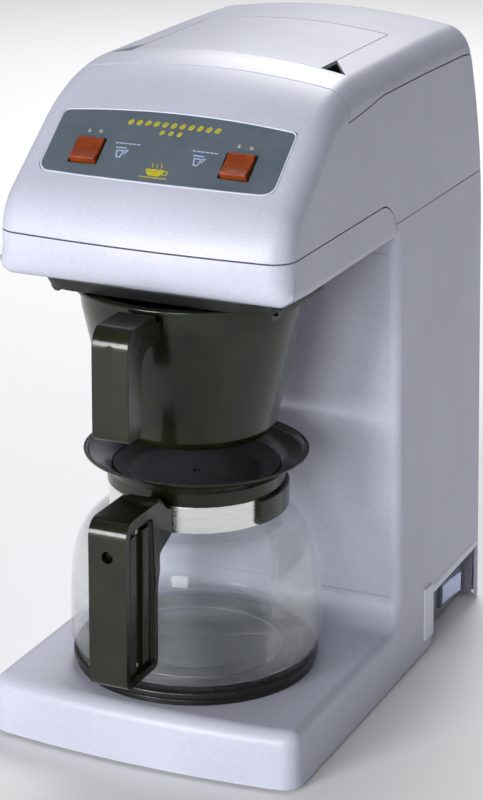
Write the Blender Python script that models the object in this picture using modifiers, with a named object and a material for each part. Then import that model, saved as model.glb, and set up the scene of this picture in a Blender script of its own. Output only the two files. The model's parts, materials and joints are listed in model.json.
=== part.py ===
"""Drip coffee maker: a pour-over brewer with a tank in the column and a glass carafe.

Frame: metres, +Z up, +X to the right of someone facing the machine, the front faces -Y.
The origin is on the floor, under the middle of the machine and its carafe handle.

The housing is one side outline lofted across the width. The loft gives the drafted walls,
the crown and the rounded rims, and every shell is a slice of it with a real wall.
"""
import math
from dataclasses import dataclass

import bmesh
import bpy
from mathutils import Vector

MM = 0.001

# ---------------------------------------------------------------- driving dimensions
HALF_WIDTH = 110 * MM          # at the floor
DRAFT = 14.3 / 450             # each side leans in this much per unit of height
REAR = 204.5 * MM
FRONT = -168 * MM              # base, at the middle
HEAD_FRONT = -166 * MM
COLUMN_FRONT = 28 * MM
BASE_TOP = 41 * MM
UNDERSIDE = 318 * MM           # bottom of the head
CROWN = 446.5 * MM             # highest line of the top cover
WALL = 2.5 * MM
GAP = 0.3 * MM                 # between neighbours that touch
SEAM = 0.6 * MM                # open joint between two shells
SKIRT = 2.1 * MM               # the shells end this far above the floor

PANEL_SLOPE = math.radians(39.5)
PANEL_SIZE = (160 * MM, 50 * MM)
PANEL_CENTRE = (0.0, -121.5 * MM, 399.6 * MM)
SWITCH_X = 51 * MM
SWITCH_Y = -7 * MM               # down the slope from the panel's middle
LAMP_Y = 8.5 * MM

BREW_Y = -79 * MM              # axis of the spray head and the basket
CARAFE_Y = -74 * MM            # axis of the carafe and the hot plate
PLATE_TOP = 51.7 * MM
BASKET_TOP = 303 * MM
BASKET_BOTTOM = 207 * MM
BASKET_R = 73.2 * MM
CARAFE_R = 83.5 * MM
BAND_Z = (151.5 * MM, 169.5 * MM)
BAND_R = 57.6 * MM
DISH_R = 74 * MM
DISH_Z = 191 * MM
HANDLE_FRONT = -204.5 * MM

LID_X = 66 * MM
LID_FRONT = -32.5 * MM
LID_REAR = 84.6 * MM
LID_PIVOT = (64 * MM, 433.5 * MM)   # y and z of the hinge line
TANK = (86 * MM, 48 * MM, 178 * MM, 292 * MM, 398 * MM)  # half width, y from, y to, z from, z to

POCKET = (92 * MM, 192 * MM, 42 * MM)      # power switch pocket: y from, y to, top
POCKET_BACK_X = 97 * MM                    # outer face of the pocket's back wall
POWER_SWITCH_AT = (98 * MM, 158 * MM, 19 * MM)
SOCKET_AT = (40 * MM, 40 * MM)             # x and z of the power inlet
ROCKER_TILT = math.radians(6)
POWER_TILT = math.radians(5)
PLATE_HOLE_R = 62 * MM
FRONT_PANEL_Z = (61.8 * MM, 306 * MM)
REAR_PANEL = (78 * MM, 16 * MM, 296 * MM)  # half width, z from, z to
REAR_VENTS = (6, 230 * MM, 9 * MM, 4 * MM)  # how many, lowest, spacing and height
LID_CLEAR = 0.6 * MM
LID_REAR_CLEAR = 1.7 * MM                  # the lid's rear edge swings down through this
NOTCH = 17 * MM
PIN_R = 2.0 * MM
PIN_BORE_R = 2.3 * MM
PIN_LENGTH = 15.5 * MM
RIB_X = 59 * MM                            # the lid's hinge ribs
BRACKET_X = 69.5 * MM
SPRAY_OPENING_R = 42 * MM
RAIL_INNER = 73.8 * MM
RAIL_OUTER = 80 * MM
FLANGE_R = 77.4 * MM                       # the basket's sliding flange
COLLAR_CUT_Y = -97.5 * MM                  # the carafe's collar is open in front of this

COLLECTION = "drip_coffee_maker"


# ---------------------------------------------------------------- scene helpers
def mm(*values):
    """Lengths given in millimetres, as a tuple in metres."""
    return tuple(value * MM for value in values)


def start_scene():
    """Empty the scene and return the collections for the parts and the cutters."""
    for old in list(bpy.data.objects):
        bpy.data.objects.remove(old, do_unlink=True)
    parts = bpy.data.collections.new(COLLECTION)
    cutters = bpy.data.collections.new("cutters")
    for collection in (parts, cutters):
        bpy.context.scene.collection.children.link(collection)
    return parts, cutters


PARTS, CUTTERS = start_scene()


def srgb(code):
    """A hex colour as linear red, green and blue."""
    parts = [int(code[i:i + 2], 16) / 255 for i in (0, 2, 4)]
    return [c / 12.92 if c <= 0.04045 else ((c + 0.055) / 1.055) ** 2.4 for c in parts]


def material(name, code, roughness=0.5, metallic=0.0, alpha=1.0):
    """A Principled material of one colour."""
    made = bpy.data.materials.new(name)
    made.use_nodes = True
    shader = made.node_tree.nodes["Principled BSDF"]
    shader.inputs["Base Color"].default_value = (*srgb(code), 1.0)
    shader.inputs["Roughness"].default_value = roughness
    shader.inputs["Metallic"].default_value = metallic
    shader.inputs["Alpha"].default_value = alpha
    made.diffuse_color = (*srgb(code), alpha)
    return made


ABS = material("abs_lavender_grey", "C3C5D2", 0.45)
PANEL = material("abs_slate_grey", "5A6670", 0.35)
BLACK = material("phenolic_black", "1D1F16", 0.3)
ORANGE = material("switch_orange", "B5450F", 0.25)
STEEL = material("stainless_steel", "C9CCD2", 0.25, 1.0)
GLASS = material("borosilicate_glass", "E8F0EE", 0.05, 0.0, 0.35)
LENS = material("lamp_lens", "E9E4DA", 0.2)
RUBBER = material("foot_rubber", "1A1A1A", 0.8)
ALUMINIUM = material("cast_aluminium", "A9ABAE", 0.45, 1.0)
SILICONE = material("silicone_tube", "D9D4C6", 0.5)
TANK_PLASTIC = material("natural_polypropylene", "D8D9D2", 0.5)
BOARD = material("circuit_board", "2E6B3B", 0.5)
CERAMIC = material("ceramic_white", "E6E2D8", 0.6)
POWER_WHITE = material("switch_white", "C9D4F2", 0.25)


def link(name, mesh, surface):
    """Add a mesh to the parts, or to the cutters where it has no material."""
    made = bpy.data.objects.new(name, mesh)
    if surface is None:
        CUTTERS.objects.link(made)
        made.hide_render = True
        made.display_type = 'WIRE'
        return made
    PARTS.objects.link(made)
    mesh.materials.clear()
    mesh.materials.append(surface)
    return made


def finish_mesh(name, shape, surface):
    """Turn a bmesh into an object with its faces pointing out."""
    bmesh.ops.recalc_face_normals(shape, faces=shape.faces)
    mesh = bpy.data.meshes.new(name)
    shape.to_mesh(mesh)
    shape.free()
    return link(name, mesh, surface)


def adopt(name, surface):
    """Name the primitive that was just added and move it to its collection."""
    made = bpy.context.object
    mesh = made.data
    for collection in list(made.users_collection):
        collection.objects.unlink(made)
    place = made.matrix_world.copy()
    bpy.data.objects.remove(made)
    mesh.transform(place)
    mesh.name = name
    return link(name, mesh, surface)


def bevel(target, width, segments=2, angle=40):
    """Round the edges of a piece that turn more than the angle."""
    rounding = target.modifiers.new("rounded_edges", 'BEVEL')
    rounding.width = width
    rounding.segments = segments
    rounding.limit_method = 'ANGLE'
    rounding.angle_limit = math.radians(angle)
    rounding.use_clamp_overlap = True
    return target


def combine(target, tool, operation='DIFFERENCE'):
    """Boolean one object with another, which stays as a hidden cutter."""
    cut = target.modifiers.new(tool.name, 'BOOLEAN')
    cut.operation = operation
    cut.solver = 'EXACT'
    cut.object = tool
    return target


def box(name, surface, low, high, round_by=0.0):
    """A block between two corners."""
    centre = [(a + b) / 2 for a, b in zip(low, high)]
    bpy.ops.mesh.primitive_cube_add(size=1, location=centre)
    bpy.context.object.scale = [b - a for a, b in zip(low, high)]
    bpy.context.view_layer.update()
    made = adopt(name, surface)
    return bevel(made, round_by) if round_by else made


def cylinder(name, surface, radius, centre, depth, axis='Z', sides=24):
    """A cylinder along a main axis."""
    turn = {'X': (0, math.pi / 2, 0), 'Y': (math.pi / 2, 0, 0), 'Z': (0, 0, 0)}[axis]
    bpy.ops.mesh.primitive_cylinder_add(
        vertices=sides, radius=radius, depth=depth, location=centre, rotation=turn)
    bpy.context.view_layer.update()
    made = adopt(name, surface)
    smooth(made)
    return made


def smooth(target):
    """Shade a round piece smooth and keep its real edges sharp."""
    target.data.shade_smooth()
    target.data.set_sharp_from_angle(angle=math.radians(35))


def turned(name, surface, profile, centre, steps=40):
    """Turn a profile of (radius, height) about a vertical axis at the centre."""
    mesh = bpy.data.meshes.new(name)
    closed = profile[0][0] > 0
    edges = [(i, i + 1) for i in range(len(profile) - 1)]
    if closed:
        edges.append((len(profile) - 1, 0))
    mesh.from_pydata([(r, 0, z) for r, z in profile], edges, [])
    made = link(name, mesh, surface)
    made.location = centre
    screw = made.modifiers.new("turn", 'SCREW')
    screw.steps = steps
    screw.render_steps = steps
    screw.use_smooth_shade = True
    screw.use_merge_vertices = True
    screw.merge_threshold = 0.00001
    return made


def disc(name, surface, radius, z_from, z_to, centre_y, edge=0.0, steps=40):
    """A turned solid disc whose rim is chamfered by the edge."""
    profile = [(0, z_to), (radius - edge, z_to)]
    if edge:
        profile += [(radius, z_to - edge), (radius, z_from + edge)]
    profile += [(radius - edge if edge else radius, z_from), (0, z_from)]
    return turned(name, surface, profile, (0, centre_y, 0), steps)


def slab(name, surface, outline, x_from, x_to, round_by=0.0):
    """Extrude an outline of (y, z) across X."""
    shape = bmesh.new()
    face = shape.faces.new([shape.verts.new((x_from, y, z)) for y, z in outline])
    grown = bmesh.ops.extrude_face_region(shape, geom=[face])
    verts = [item for item in grown["geom"] if isinstance(item, bmesh.types.BMVert)]
    bmesh.ops.translate(shape, verts=verts, vec=(x_to - x_from, 0, 0))
    made = finish_mesh(name, shape, surface)
    return bevel(made, round_by) if round_by else made


def prism(name, surface, outline, z_from, z_to):
    """Raise an outline of (x, y) between two heights."""
    shape = bmesh.new()
    face = shape.faces.new([shape.verts.new((x, y, z_from)) for x, y in outline])
    grown = bmesh.ops.extrude_face_region(shape, geom=[face])
    verts = [item for item in grown["geom"] if isinstance(item, bmesh.types.BMVert)]
    bmesh.ops.translate(shape, verts=verts, vec=(0, 0, z_to - z_from))
    return finish_mesh(name, shape, surface)


def tube(name, surface, points, radius, resolution=3):
    """A round tube or wire along points, with flat ends."""
    curve = bpy.data.curves.new(name, 'CURVE')
    curve.dimensions = '3D'
    curve.bevel_depth = radius
    curve.bevel_resolution = resolution
    curve.use_fill_caps = True
    spline = curve.splines.new('POLY')
    spline.points.add(len(points) - 1)
    for spot, place in zip(spline.points, points):
        spot.co = (*place, 1)
    made = bpy.data.objects.new(name, curve)
    PARTS.objects.link(made)
    curve.materials.append(surface)
    return made


def arc(centre, radius, start, end, count):
    """Points of (y, z) on an arc, angles in degrees from +Y towards +Z."""
    angles = [math.radians(start + (end - start) * i / count) for i in range(count + 1)]
    return [(centre[0] + radius * math.cos(a), centre[1] + radius * math.sin(a)) for a in angles]


def rounded_path(corners, count=3):
    """Follow (point, bend radius) corners and round each with a curve."""
    points = [corners[0][0]]
    for (before, _), (corner, radius), (after, _) in zip(corners, corners[1:], corners[2:]):
        corner = Vector(corner)
        start = corner + (Vector(before) - corner).normalized() * radius
        end = corner + (Vector(after) - corner).normalized() * radius
        for i in range(count + 1):
            t = i / count
            points.append(start * (1 - t) ** 2 + corner * 2 * t * (1 - t) + end * t * t)
    points.append(corners[-1][0])
    return points


# ---------------------------------------------------------------- housing envelope
@dataclass(frozen=True)
class Spot:
    """A point of the side outline: place, rim radius and how far it sags at the sides."""

    y: float
    z: float
    rim: float
    sag_y: float = 0.0
    sag_z: float = 0.0


SAG_AT = 86 * MM               # the sags are stated at this distance from the middle
FRONT_SAG = 5 * MM             # the front faces bow this much
CROWN_SAG = 9 * MM             # the top is crowned this much


def stretch(points, first, last):
    """Give points the rim and sags that run evenly between two (rim, sag_y, sag_z)."""
    spots = []
    for i, (y, z) in enumerate(points):
        t = i / max(len(points) - 1, 1)
        spots.append(Spot(y, z, *(a + (b - a) * t for a, b in zip(first, last))))
    return spots


def bezier(controls, count):
    """Points of a cubic curve."""
    points = []
    for i in range(count + 1):
        t = i / count
        weights = ((1 - t) ** 3, 3 * t * (1 - t) ** 2, 3 * t * t * (1 - t), t ** 3)
        points.append(tuple(sum(w * c[k] for w, c in zip(weights, controls)) for k in (0, 1)))
    return points


def side_outline():
    """The housing's side outline at its middle, from the base's front round to its rear."""
    below = -20 * MM
    edge = 10 * MM
    cove = 20 * MM
    lip = 22 * MM
    nose = 55 * MM
    brow = 122 * MM
    slope = math.degrees(PANEL_SLOPE)
    nose_centre = (HEAD_FRONT + nose, 338 * MM)
    nose_points = arc(nose_centre, nose, 180, 90 + slope, 6)
    panel_top_y = -101.2 * MM
    panel_start = nose_points[-1]
    panel_top = (panel_top_y,
                 panel_start[1] + (panel_top_y - panel_start[0]) * math.tan(PANEL_SLOPE))
    brow_centre = (panel_top[0] + brow * math.sin(PANEL_SLOPE),
                   panel_top[1] - brow * math.cos(PANEL_SLOPE))
    lip_angle = math.degrees(math.asin((338 * MM - UNDERSIDE) / lip))
    rear_bend = 300 * MM
    rear_levels = [rear_bend + step * 22 * MM for step in range(6)]
    rear = [(REAR - 1.7 * (z - rear_bend) ** 2, z) for z in rear_levels]
    front_face = (14 * MM, FRONT_SAG, 0.0)
    flat = (7 * MM, 0.0, 0.0)
    top = (14 * MM, 0.0, CROWN_SAG)
    shoulder = (edge, FRONT_SAG, 0.0)
    outline = stretch([(FRONT, below), (FRONT, 0.0), (FRONT, BASE_TOP - edge)], front_face, shoulder)
    outline += stretch(arc((FRONT + edge, BASE_TOP - edge), edge, 150, 90, 2),
                       shoulder, (7 * MM, FRONT_SAG, 0.0))
    outline += stretch(arc((COLUMN_FRONT - cove, BASE_TOP + cove), cove, 270, 360, 5), flat, flat)
    outline += stretch(arc((COLUMN_FRONT - 4 * MM, UNDERSIDE - 4 * MM), 4 * MM, 0, 90, 2), flat, flat)
    outline += stretch([(-120 * MM, UNDERSIDE)], flat, flat)
    outline += stretch(arc((HEAD_FRONT + lip, 338 * MM), lip, 180 + lip_angle, 190, 3),
                       (10 * MM, 0.0, 0.0), front_face)
    outline += stretch(nose_points, front_face, (14 * MM, 0.0, 4 * MM))
    outline += stretch(arc(brow_centre, brow, 90 + slope, 91, 6), (14 * MM, 0.0, 5 * MM), top)
    outline += stretch([(35 * MM, 446 * MM), (85 * MM, CROWN), (130 * MM, 446.3 * MM)], top, top)
    corner = bezier([(152 * MM, 445.6 * MM), (170 * MM, 445 * MM), (179 * MM, 428 * MM), rear[-1]], 5)
    outline += stretch(corner, top, (14 * MM, 0.0, 0.0))
    back_face = rear[-2::-1] + [(REAR, 0.0), (REAR, below)]
    outline += stretch(back_face, (14 * MM, 0.0, 0.0), (12 * MM, 0.0, 0.0))
    return outline


def inward(outline, index):
    """Unit vector into the material at a point of the outline."""
    before, after = outline[index - 1], outline[(index + 1) % len(outline)]
    along = Vector((after.y - before.y, after.z - before.z)).normalized()
    return Vector((along.y, -along.x))


def half_width(z):
    """Half of the housing's width at a height."""
    return HALF_WIDTH - DRAFT * z


def envelope(name, inset=0.0, columns=4, rim_steps=4):
    """The housing as one solid, or its cavity where an inset is given."""
    outline = side_outline()
    normals = [inward(outline, i) for i in range(len(outline))]
    steps = [(i / columns, 0.0) for i in range(columns)]
    steps += [(1.0, math.pi / 2 * i / rim_steps) for i in range(rim_steps + 1)]
    stations = [(-1, *step) for step in steps[:0:-1]] + [(1, *step) for step in steps]
    shape = bmesh.new()
    rings = []
    for sign, reach, turn in stations:
        ring = []
        for spot, normal in zip(outline, normals):
            rim = max(spot.rim - inset, 1.5 * MM)
            depth = inset + rim * (1 - math.cos(turn))
            z = spot.z + normal.y * depth
            x = (half_width(z) - inset - rim) * reach + rim * math.sin(turn)
            sag = (x / SAG_AT) ** 2
            ring.append(shape.verts.new((
                sign * x,
                spot.y + normal.x * depth + spot.sag_y * sag,
                z - spot.sag_z * sag)))
        rings.append(ring)
    count = len(outline)
    for near, far in zip(rings, rings[1:]):
        for i in range(count):
            shape.faces.new((near[i], near[(i + 1) % count], far[(i + 1) % count], far[i]))
    shape.faces.new(rings[0][::-1])
    shape.faces.new(rings[-1])
    return finish_mesh(name, shape, None)


OUTER = envelope("housing_outside")
INNER = envelope("housing_inside", WALL)
INNER_CLEAR = envelope("housing_inside_clear", WALL + 0.8 * MM)
PANEL_FACE = envelope("panel_face", 0.2 * MM)
PANEL_BACK = envelope("panel_back", 1.3 * MM)
PANEL_SEAT = envelope("panel_seat", 1.6 * MM)

TOP_SEAM = [(-59.5, 413), (-35, 415), (0, 419), (74, 419), (154, 417.7), (182, 414.7), (230, 411)]
BODY_SEAM_Z = 329 * MM
COVER_SEAM_Z = 346.5 * MM
COVER_END = 24 * MM
COVER_END_R = 28 * MM


def top_seam(shift):
    """Outline of the region above the top cover's seam, moved by half a seam."""
    line = [(y * MM + (shift if i == 0 else 0), z * MM + shift) for i, (y, z) in enumerate(TOP_SEAM)]
    return line + [mm(230, 500), (line[0][0], 500 * MM)]


def undercover_region(grow):
    """Outline of the head's lower cover, with its round rear end."""
    top = COVER_SEAM_Z + grow
    end = arc((COVER_END - COVER_END_R, UNDERSIDE), COVER_END_R + grow, 90, 0, 8)
    return [mm(-250, 280), (-250 * MM, top)] + end + [(COVER_END + grow, 280 * MM)]


def shell(name, region, inside=INNER):
    """A slice of the housing's wall, in the region of a block."""
    combine(region, OUTER, 'INTERSECT')
    combine(region, inside, 'DIFFERENCE')
    region.name = name
    smooth(region)
    return region


def panel_prism(name, grow, depth=30 * MM):
    """A prism square to the control panel with its barrel outline."""
    half_x, half_y = PANEL_SIZE[0] / 2 + grow, PANEL_SIZE[1] / 2 + grow
    corner = 9 * MM
    belly = 3 * MM
    outline = []
    for cx, cy, start in ((1, -1, 270), (1, 1, 0), (-1, 1, 90), (-1, -1, 180)):
        centre = (cx * (half_x - corner), cy * (half_y - corner))
        outline += arc(centre, corner, start, start + 90, 4)
    half = len(outline) // 2
    outline = [(0.0, -half_y)] + outline[:half] + [(0.0, half_y)] + outline[half:]
    spread = [(x, y + math.copysign(belly * (1 - (x / half_x) ** 2), y)) for x, y in outline]
    made = prism(name, None, spread, -depth, depth)
    made.location = PANEL_CENTRE
    made.rotation_euler = (PANEL_SLOPE, 0, 0)
    return made


# ---------------------------------------------------------------- housing shells
def front_panel_block(name, surface, grow):
    """The column's front panel as a tapered block that follows the drafted sides."""
    low, high = FRONT_PANEL_Z[0] - grow, FRONT_PANEL_Z[1] + grow
    block = box(name, surface, (-1, 20 * MM, low), (1, COLUMN_FRONT + 10 * MM, high))
    for vert in block.data.vertices:
        edge = half_width(vert.co.z) - 8 * MM + grow
        vert.co.x = math.copysign(edge, vert.co.x)
    return block


def make_main_body():
    """Base and column in one moulding, open below and above."""
    region = box("main_body", ABS, (-150 * MM, -200 * MM, SKIRT),
                 (150 * MM, 260 * MM, BODY_SEAM_Z - SEAM / 2))
    body = shell("main_body", region)
    combine(body, slab("undercover_space", None, undercover_region(SEAM / 2), *mm(-150, 150)))
    combine(body, front_panel_block("front_panel_opening", None, GAP))
    half, low, high = REAR_PANEL
    combine(body, box("rear_opening", None, (-half, REAR - 8 * MM, low), (half, REAR + 9 * MM, high)))
    combine(body, cylinder("plate_hole", None, PLATE_HOLE_R, (0, CARAFE_Y, BASE_TOP), 30 * MM, sides=40))
    combine(body, side_ramp(), 'UNION')
    y_from, y_to, top = POCKET
    combine(body, box("pocket_opening", None, (90 * MM, y_from, -20 * MM), (130 * MM, y_to, top)))
    return body


def side_ramp():
    """The raised ramp on the side wall in front of the power switch, to join to the body."""
    z_from, z_to = 13 * MM, 50 * MM
    shape = bmesh.new()
    rings = []
    for z in (z_from, z_to):
        wall = half_width(z)
        places = [(wall - 1 * MM, 55 * MM), (wall + 2 * MM, 91.5 * MM), (wall - 1 * MM, 91.5 * MM)]
        rings.append([shape.verts.new((x, y, z)) for x, y in places])
    for i in range(3):
        shape.faces.new((rings[0][i], rings[0][(i + 1) % 3], rings[1][(i + 1) % 3], rings[1][i]))
    shape.faces.new(rings[0][::-1])
    shape.faces.new(rings[1])
    return finish_mesh("side_ramp", shape, None)


def make_column_front_panel():
    """Service panel in the column's front face."""
    return shell("column_front_panel", front_panel_block("column_front_panel", ABS, 0.0))


def make_rear_panel():
    """Flat rear cover with vents and the socket's opening, and its four screws."""
    half, low, high = REAR_PANEL
    panel = box("rear_panel", ABS, (-half + GAP, REAR - WALL, low + GAP), (half - GAP, REAR, high - GAP))
    rows, first, spacing, height = REAR_VENTS
    before, behind = REAR - 9 * MM, REAR + 9 * MM
    for row in range(rows):
        z = first + row * spacing
        combine(panel, box("vent_%d" % row, None, (-40 * MM, before, z), (40 * MM, behind, z + height)))
    x, z = SOCKET_AT
    combine(panel, box("socket_opening", None, (x - 14.2 * MM, before, z - 10.2 * MM),
                       (x + 14.2 * MM, behind, z + 10.2 * MM)))
    for side, sign in (("left", -1), ("right", 1)):
        for level, z in (("lower", low + 8 * MM), ("upper", high - 8 * MM)):
            name = "rear_screw_%s_%s" % (level, side)
            x = sign * (half - 8 * MM)
            cylinder(name, STEEL, 3.2 * MM, (x, REAR - 4.4 * MM, z), 8 * MM, 'Y', 12)
            combine(panel, cylinder(name + "_hole", None, 3.6 * MM, (x, REAR, z), 20 * MM, 'Y', 12))
    return panel


def make_power_inlet():
    """Appliance socket in the rear panel: a hollow body with three blades."""
    x, z = SOCKET_AT
    inlet = box("power_inlet", BLACK, (x - 13.8 * MM, REAR - 20 * MM, z - 9.8 * MM),
                (x + 13.8 * MM, REAR - 0.2 * MM, z + 9.8 * MM), 1.5 * MM)
    combine(inlet, box("inlet_hollow", None, (x - 11 * MM, REAR - 16 * MM, z - 7 * MM),
                       (x + 11 * MM, REAR + 5 * MM, z + 7 * MM)))
    for index in (-1, 0, 1):
        blade_x = x + index * 6.5 * MM
        blade = box("inlet_blade_%d" % (index + 2), None,
                    (blade_x - 1 * MM, REAR - 17 * MM, z - 2 * MM),
                    (blade_x + 1 * MM, REAR - 4 * MM, z + 2 * MM))
        combine(inlet, blade, 'UNION')


def make_head_housing():
    """Upper moulding between the body and the top cover, with the panel's seat."""
    region = box("head_housing", ABS, (-150 * MM, -250 * MM, BODY_SEAM_Z + SEAM / 2), mm(150, 260, 480))
    head = shell("head_housing", region)
    combine(head, slab("above_top_seam", None, top_seam(-SEAM / 2), *mm(-160, 160)))
    combine(head, slab("lower_cover_space", None, undercover_region(SEAM / 2), *mm(-160, 160)))
    seat = panel_prism("panel_seat_cut", GAP)
    combine(seat, PANEL_SEAT)
    combine(head, seat)
    for index, x in enumerate((-SWITCH_X, SWITCH_X)):
        combine(head, panel_box("switch_hole_%d" % index, None, (x, SWITCH_Y, 0), (23.2, 23.2, 30)))
    return head


def panel_box(name, surface, at, size, round_by=0.0):
    """A block in the control panel's own frame: X, up the slope, out of the panel.

    The place is in metres and the size is in millimetres.
    """
    low = [-s / 2 * MM for s in size]
    made = box(name, surface, low, [-v for v in low], round_by)
    made.parent = PANEL_AXES
    made.location = at
    return made


def empty(name, place, turn=(0, 0, 0)):
    """An empty that carries a moving piece or a tilted group."""
    made = bpy.data.objects.new(name, None)
    PARTS.objects.link(made)
    made.location = place
    made.rotation_euler = turn
    bpy.context.view_layer.update()
    return made


PANEL_AXES = empty("control_panel_axes", PANEL_CENTRE, (PANEL_SLOPE, 0, 0))


def carry(name, place, pieces):
    """Hang finished pieces on an empty at their joint's axis, without moving them."""
    axis = empty(name, place)
    for piece in pieces:
        piece.parent = axis
        piece.matrix_parent_inverse = axis.matrix_world.inverted()
    return axis


def make_top_cover():
    """Crowned cover with the lid's opening and two finger notches."""
    cover = shell("top_cover", slab("top_cover", ABS, top_seam(SEAM / 2), *mm(-150, 150)))
    opening = box("lid_opening", None, (-LID_X - LID_CLEAR, LID_FRONT - LID_CLEAR, 400 * MM),
                  (LID_X + LID_CLEAR, LID_REAR + LID_REAR_CLEAR, 480 * MM))
    combine(cover, opening)
    for index, side in enumerate((-1, 1)):
        combine(cover, notch("finger_notch_%d" % index, side))
    return cover


def notch(name, side):
    """Wedge beside the lid's front corner that lets a finger under its edge."""
    inner, outer = side * (LID_X - 1 * MM), side * (LID_X + NOTCH)
    front = LID_FRONT - LID_CLEAR
    corners = [(inner, front), (outer, front), (inner, LID_FRONT + 28 * MM)]
    return prism(name, None, corners, 410 * MM, 470 * MM)


def make_head_undercover():
    """Cover under the head, with the opening that the spray head drips through."""
    region = slab("head_undercover", ABS, undercover_region(-SEAM / 2), *mm(-150, 150))
    cover = shell("head_undercover", region)
    opening_at = (0, BREW_Y, UNDERSIDE)
    return combine(cover, cylinder("spray_opening", None, SPRAY_OPENING_R, opening_at, 30 * MM, sides=32))


def make_base_plate():
    """Bottom plate inside the skirt, with the four feet under it."""
    plate = box("base_plate", ALUMINIUM, mm(-150, -250, 2.3), mm(150, 250, 3.8))
    combine(plate, INNER_CLEAR, 'INTERSECT')
    y_from, y_to, _ = POCKET
    combine(plate, box("plate_corner_cut", None, (88 * MM, y_from - 8 * MM, -5 * MM), mm(130, 230, 9)))
    for end, y in (("front", -140 * MM), ("rear", 176 * MM)):
        for side, x in (("left", -78 * MM), ("right", 78 * MM)):
            disc_at("foot_%s_%s" % (end, side), RUBBER, 11 * MM, 0.0, 2.0 * MM, x, y)


def disc_at(name, surface, radius, z_from, z_to, x, y, sides=20):
    """A plain cylinder between two heights."""
    return cylinder(name, surface, radius, (x, y, (z_from + z_to) / 2), z_to - z_from, 'Z', sides)


# ---------------------------------------------------------------- control panel
def make_control_panel():
    """Curved facing plate with the two switches and their four lamps."""
    plate = panel_prism("control_panel", 0.0)
    CUTTERS.objects.unlink(plate)
    PARTS.objects.link(plate)
    plate.hide_render = False
    plate.display_type = 'TEXTURED'
    plate.data.materials.append(PANEL)
    combine(plate, PANEL_FACE, 'INTERSECT')
    combine(plate, PANEL_BACK, 'DIFFERENCE')
    for name, x in (("brew", SWITCH_X), ("warmer", -SWITCH_X)):
        combine(plate, panel_box(name + "_plate_hole", None, (x, SWITCH_Y, 0), (23.2, 23.2, 30)))
        bezel = panel_box(name + "_switch_bezel", BLACK, (x, SWITCH_Y, -7.5 * MM), (22.4, 22.4, 18))
        combine(bezel, panel_box(name + "_bezel_hole", None, (x, SWITCH_Y, -4.5 * MM), (20.6, 20.6, 18)))
        rocker = panel_box(name + "_rocker", ORANGE, (x, SWITCH_Y, -1.6 * MM), (19.6, 19.2, 8), 0.8 * MM)
        rocker.rotation_euler = (-ROCKER_TILT, 0, 0)
        for index, shift in enumerate((-4, 4)):
            lens_x = x + shift * MM
            lens_name = "%s_lamp_%s" % (name, ("left", "right")[index])
            lens = cylinder(lens_name, LENS, 1.6 * MM, (0, 0, 0), 5 * MM, 'Z', 12)
            lens.parent = PANEL_AXES
            lens.location = (lens_x, LAMP_Y, -2.6 * MM)
            hole = cylinder(lens_name + "_hole", None, 2.0 * MM, (0, 0, 0), 40 * MM, 'Z', 12)
            hole.parent = PANEL_AXES
            hole.location = (lens_x, LAMP_Y, 0)
            combine(plate, hole)
            combine(bpy.data.objects["head_housing"], hole)
    panel_box("control_board", BOARD, (0, 0, -24 * MM), (140, 42, 1.6))


# ---------------------------------------------------------------- power switch
def make_power_switch():
    """Black pocket in the side wall with the main switch in it."""
    y_from, y_to, top = POCKET
    x_in = POCKET_BACK_X
    pivot_x, y, z = POWER_SWITCH_AT
    pocket = box("power_switch_pocket", BLACK, (x_in - 2 * MM, y_from + GAP, SKIRT + GAP),
                 (106 * MM, y_to - GAP, top - GAP))
    combine(pocket, box("pocket_hollow", None, (x_in, y_from + 2 * MM, -10 * MM),
                        (130 * MM, y_to - 2 * MM, top - 2 * MM)))
    combine(pocket, box("pocket_switch_hole", None, (80 * MM, y - 19 * MM, z - 10 * MM),
                        (120 * MM, y + 19 * MM, z + 10 * MM)))
    bezel = box("power_switch_bezel", BLACK, (86 * MM, y - 18.7 * MM, z - 9.7 * MM),
                (100.5 * MM, y + 18.7 * MM, z + 9.7 * MM))
    combine(bezel, box("power_bezel_hole", None, (90 * MM, y - 17 * MM, z - 8.2 * MM),
                       (120 * MM, y + 17 * MM, z + 8.2 * MM)))
    axis = empty("power_rocker_axis", (pivot_x, y, z))
    rocker = box("power_rocker", POWER_WHITE, mm(-4, -16.2, -7.6), mm(4, 16.2, 7.6), 0.8 * MM)
    rocker.parent = axis
    rocker.rotation_euler = (0, 0, -POWER_TILT)


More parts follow.
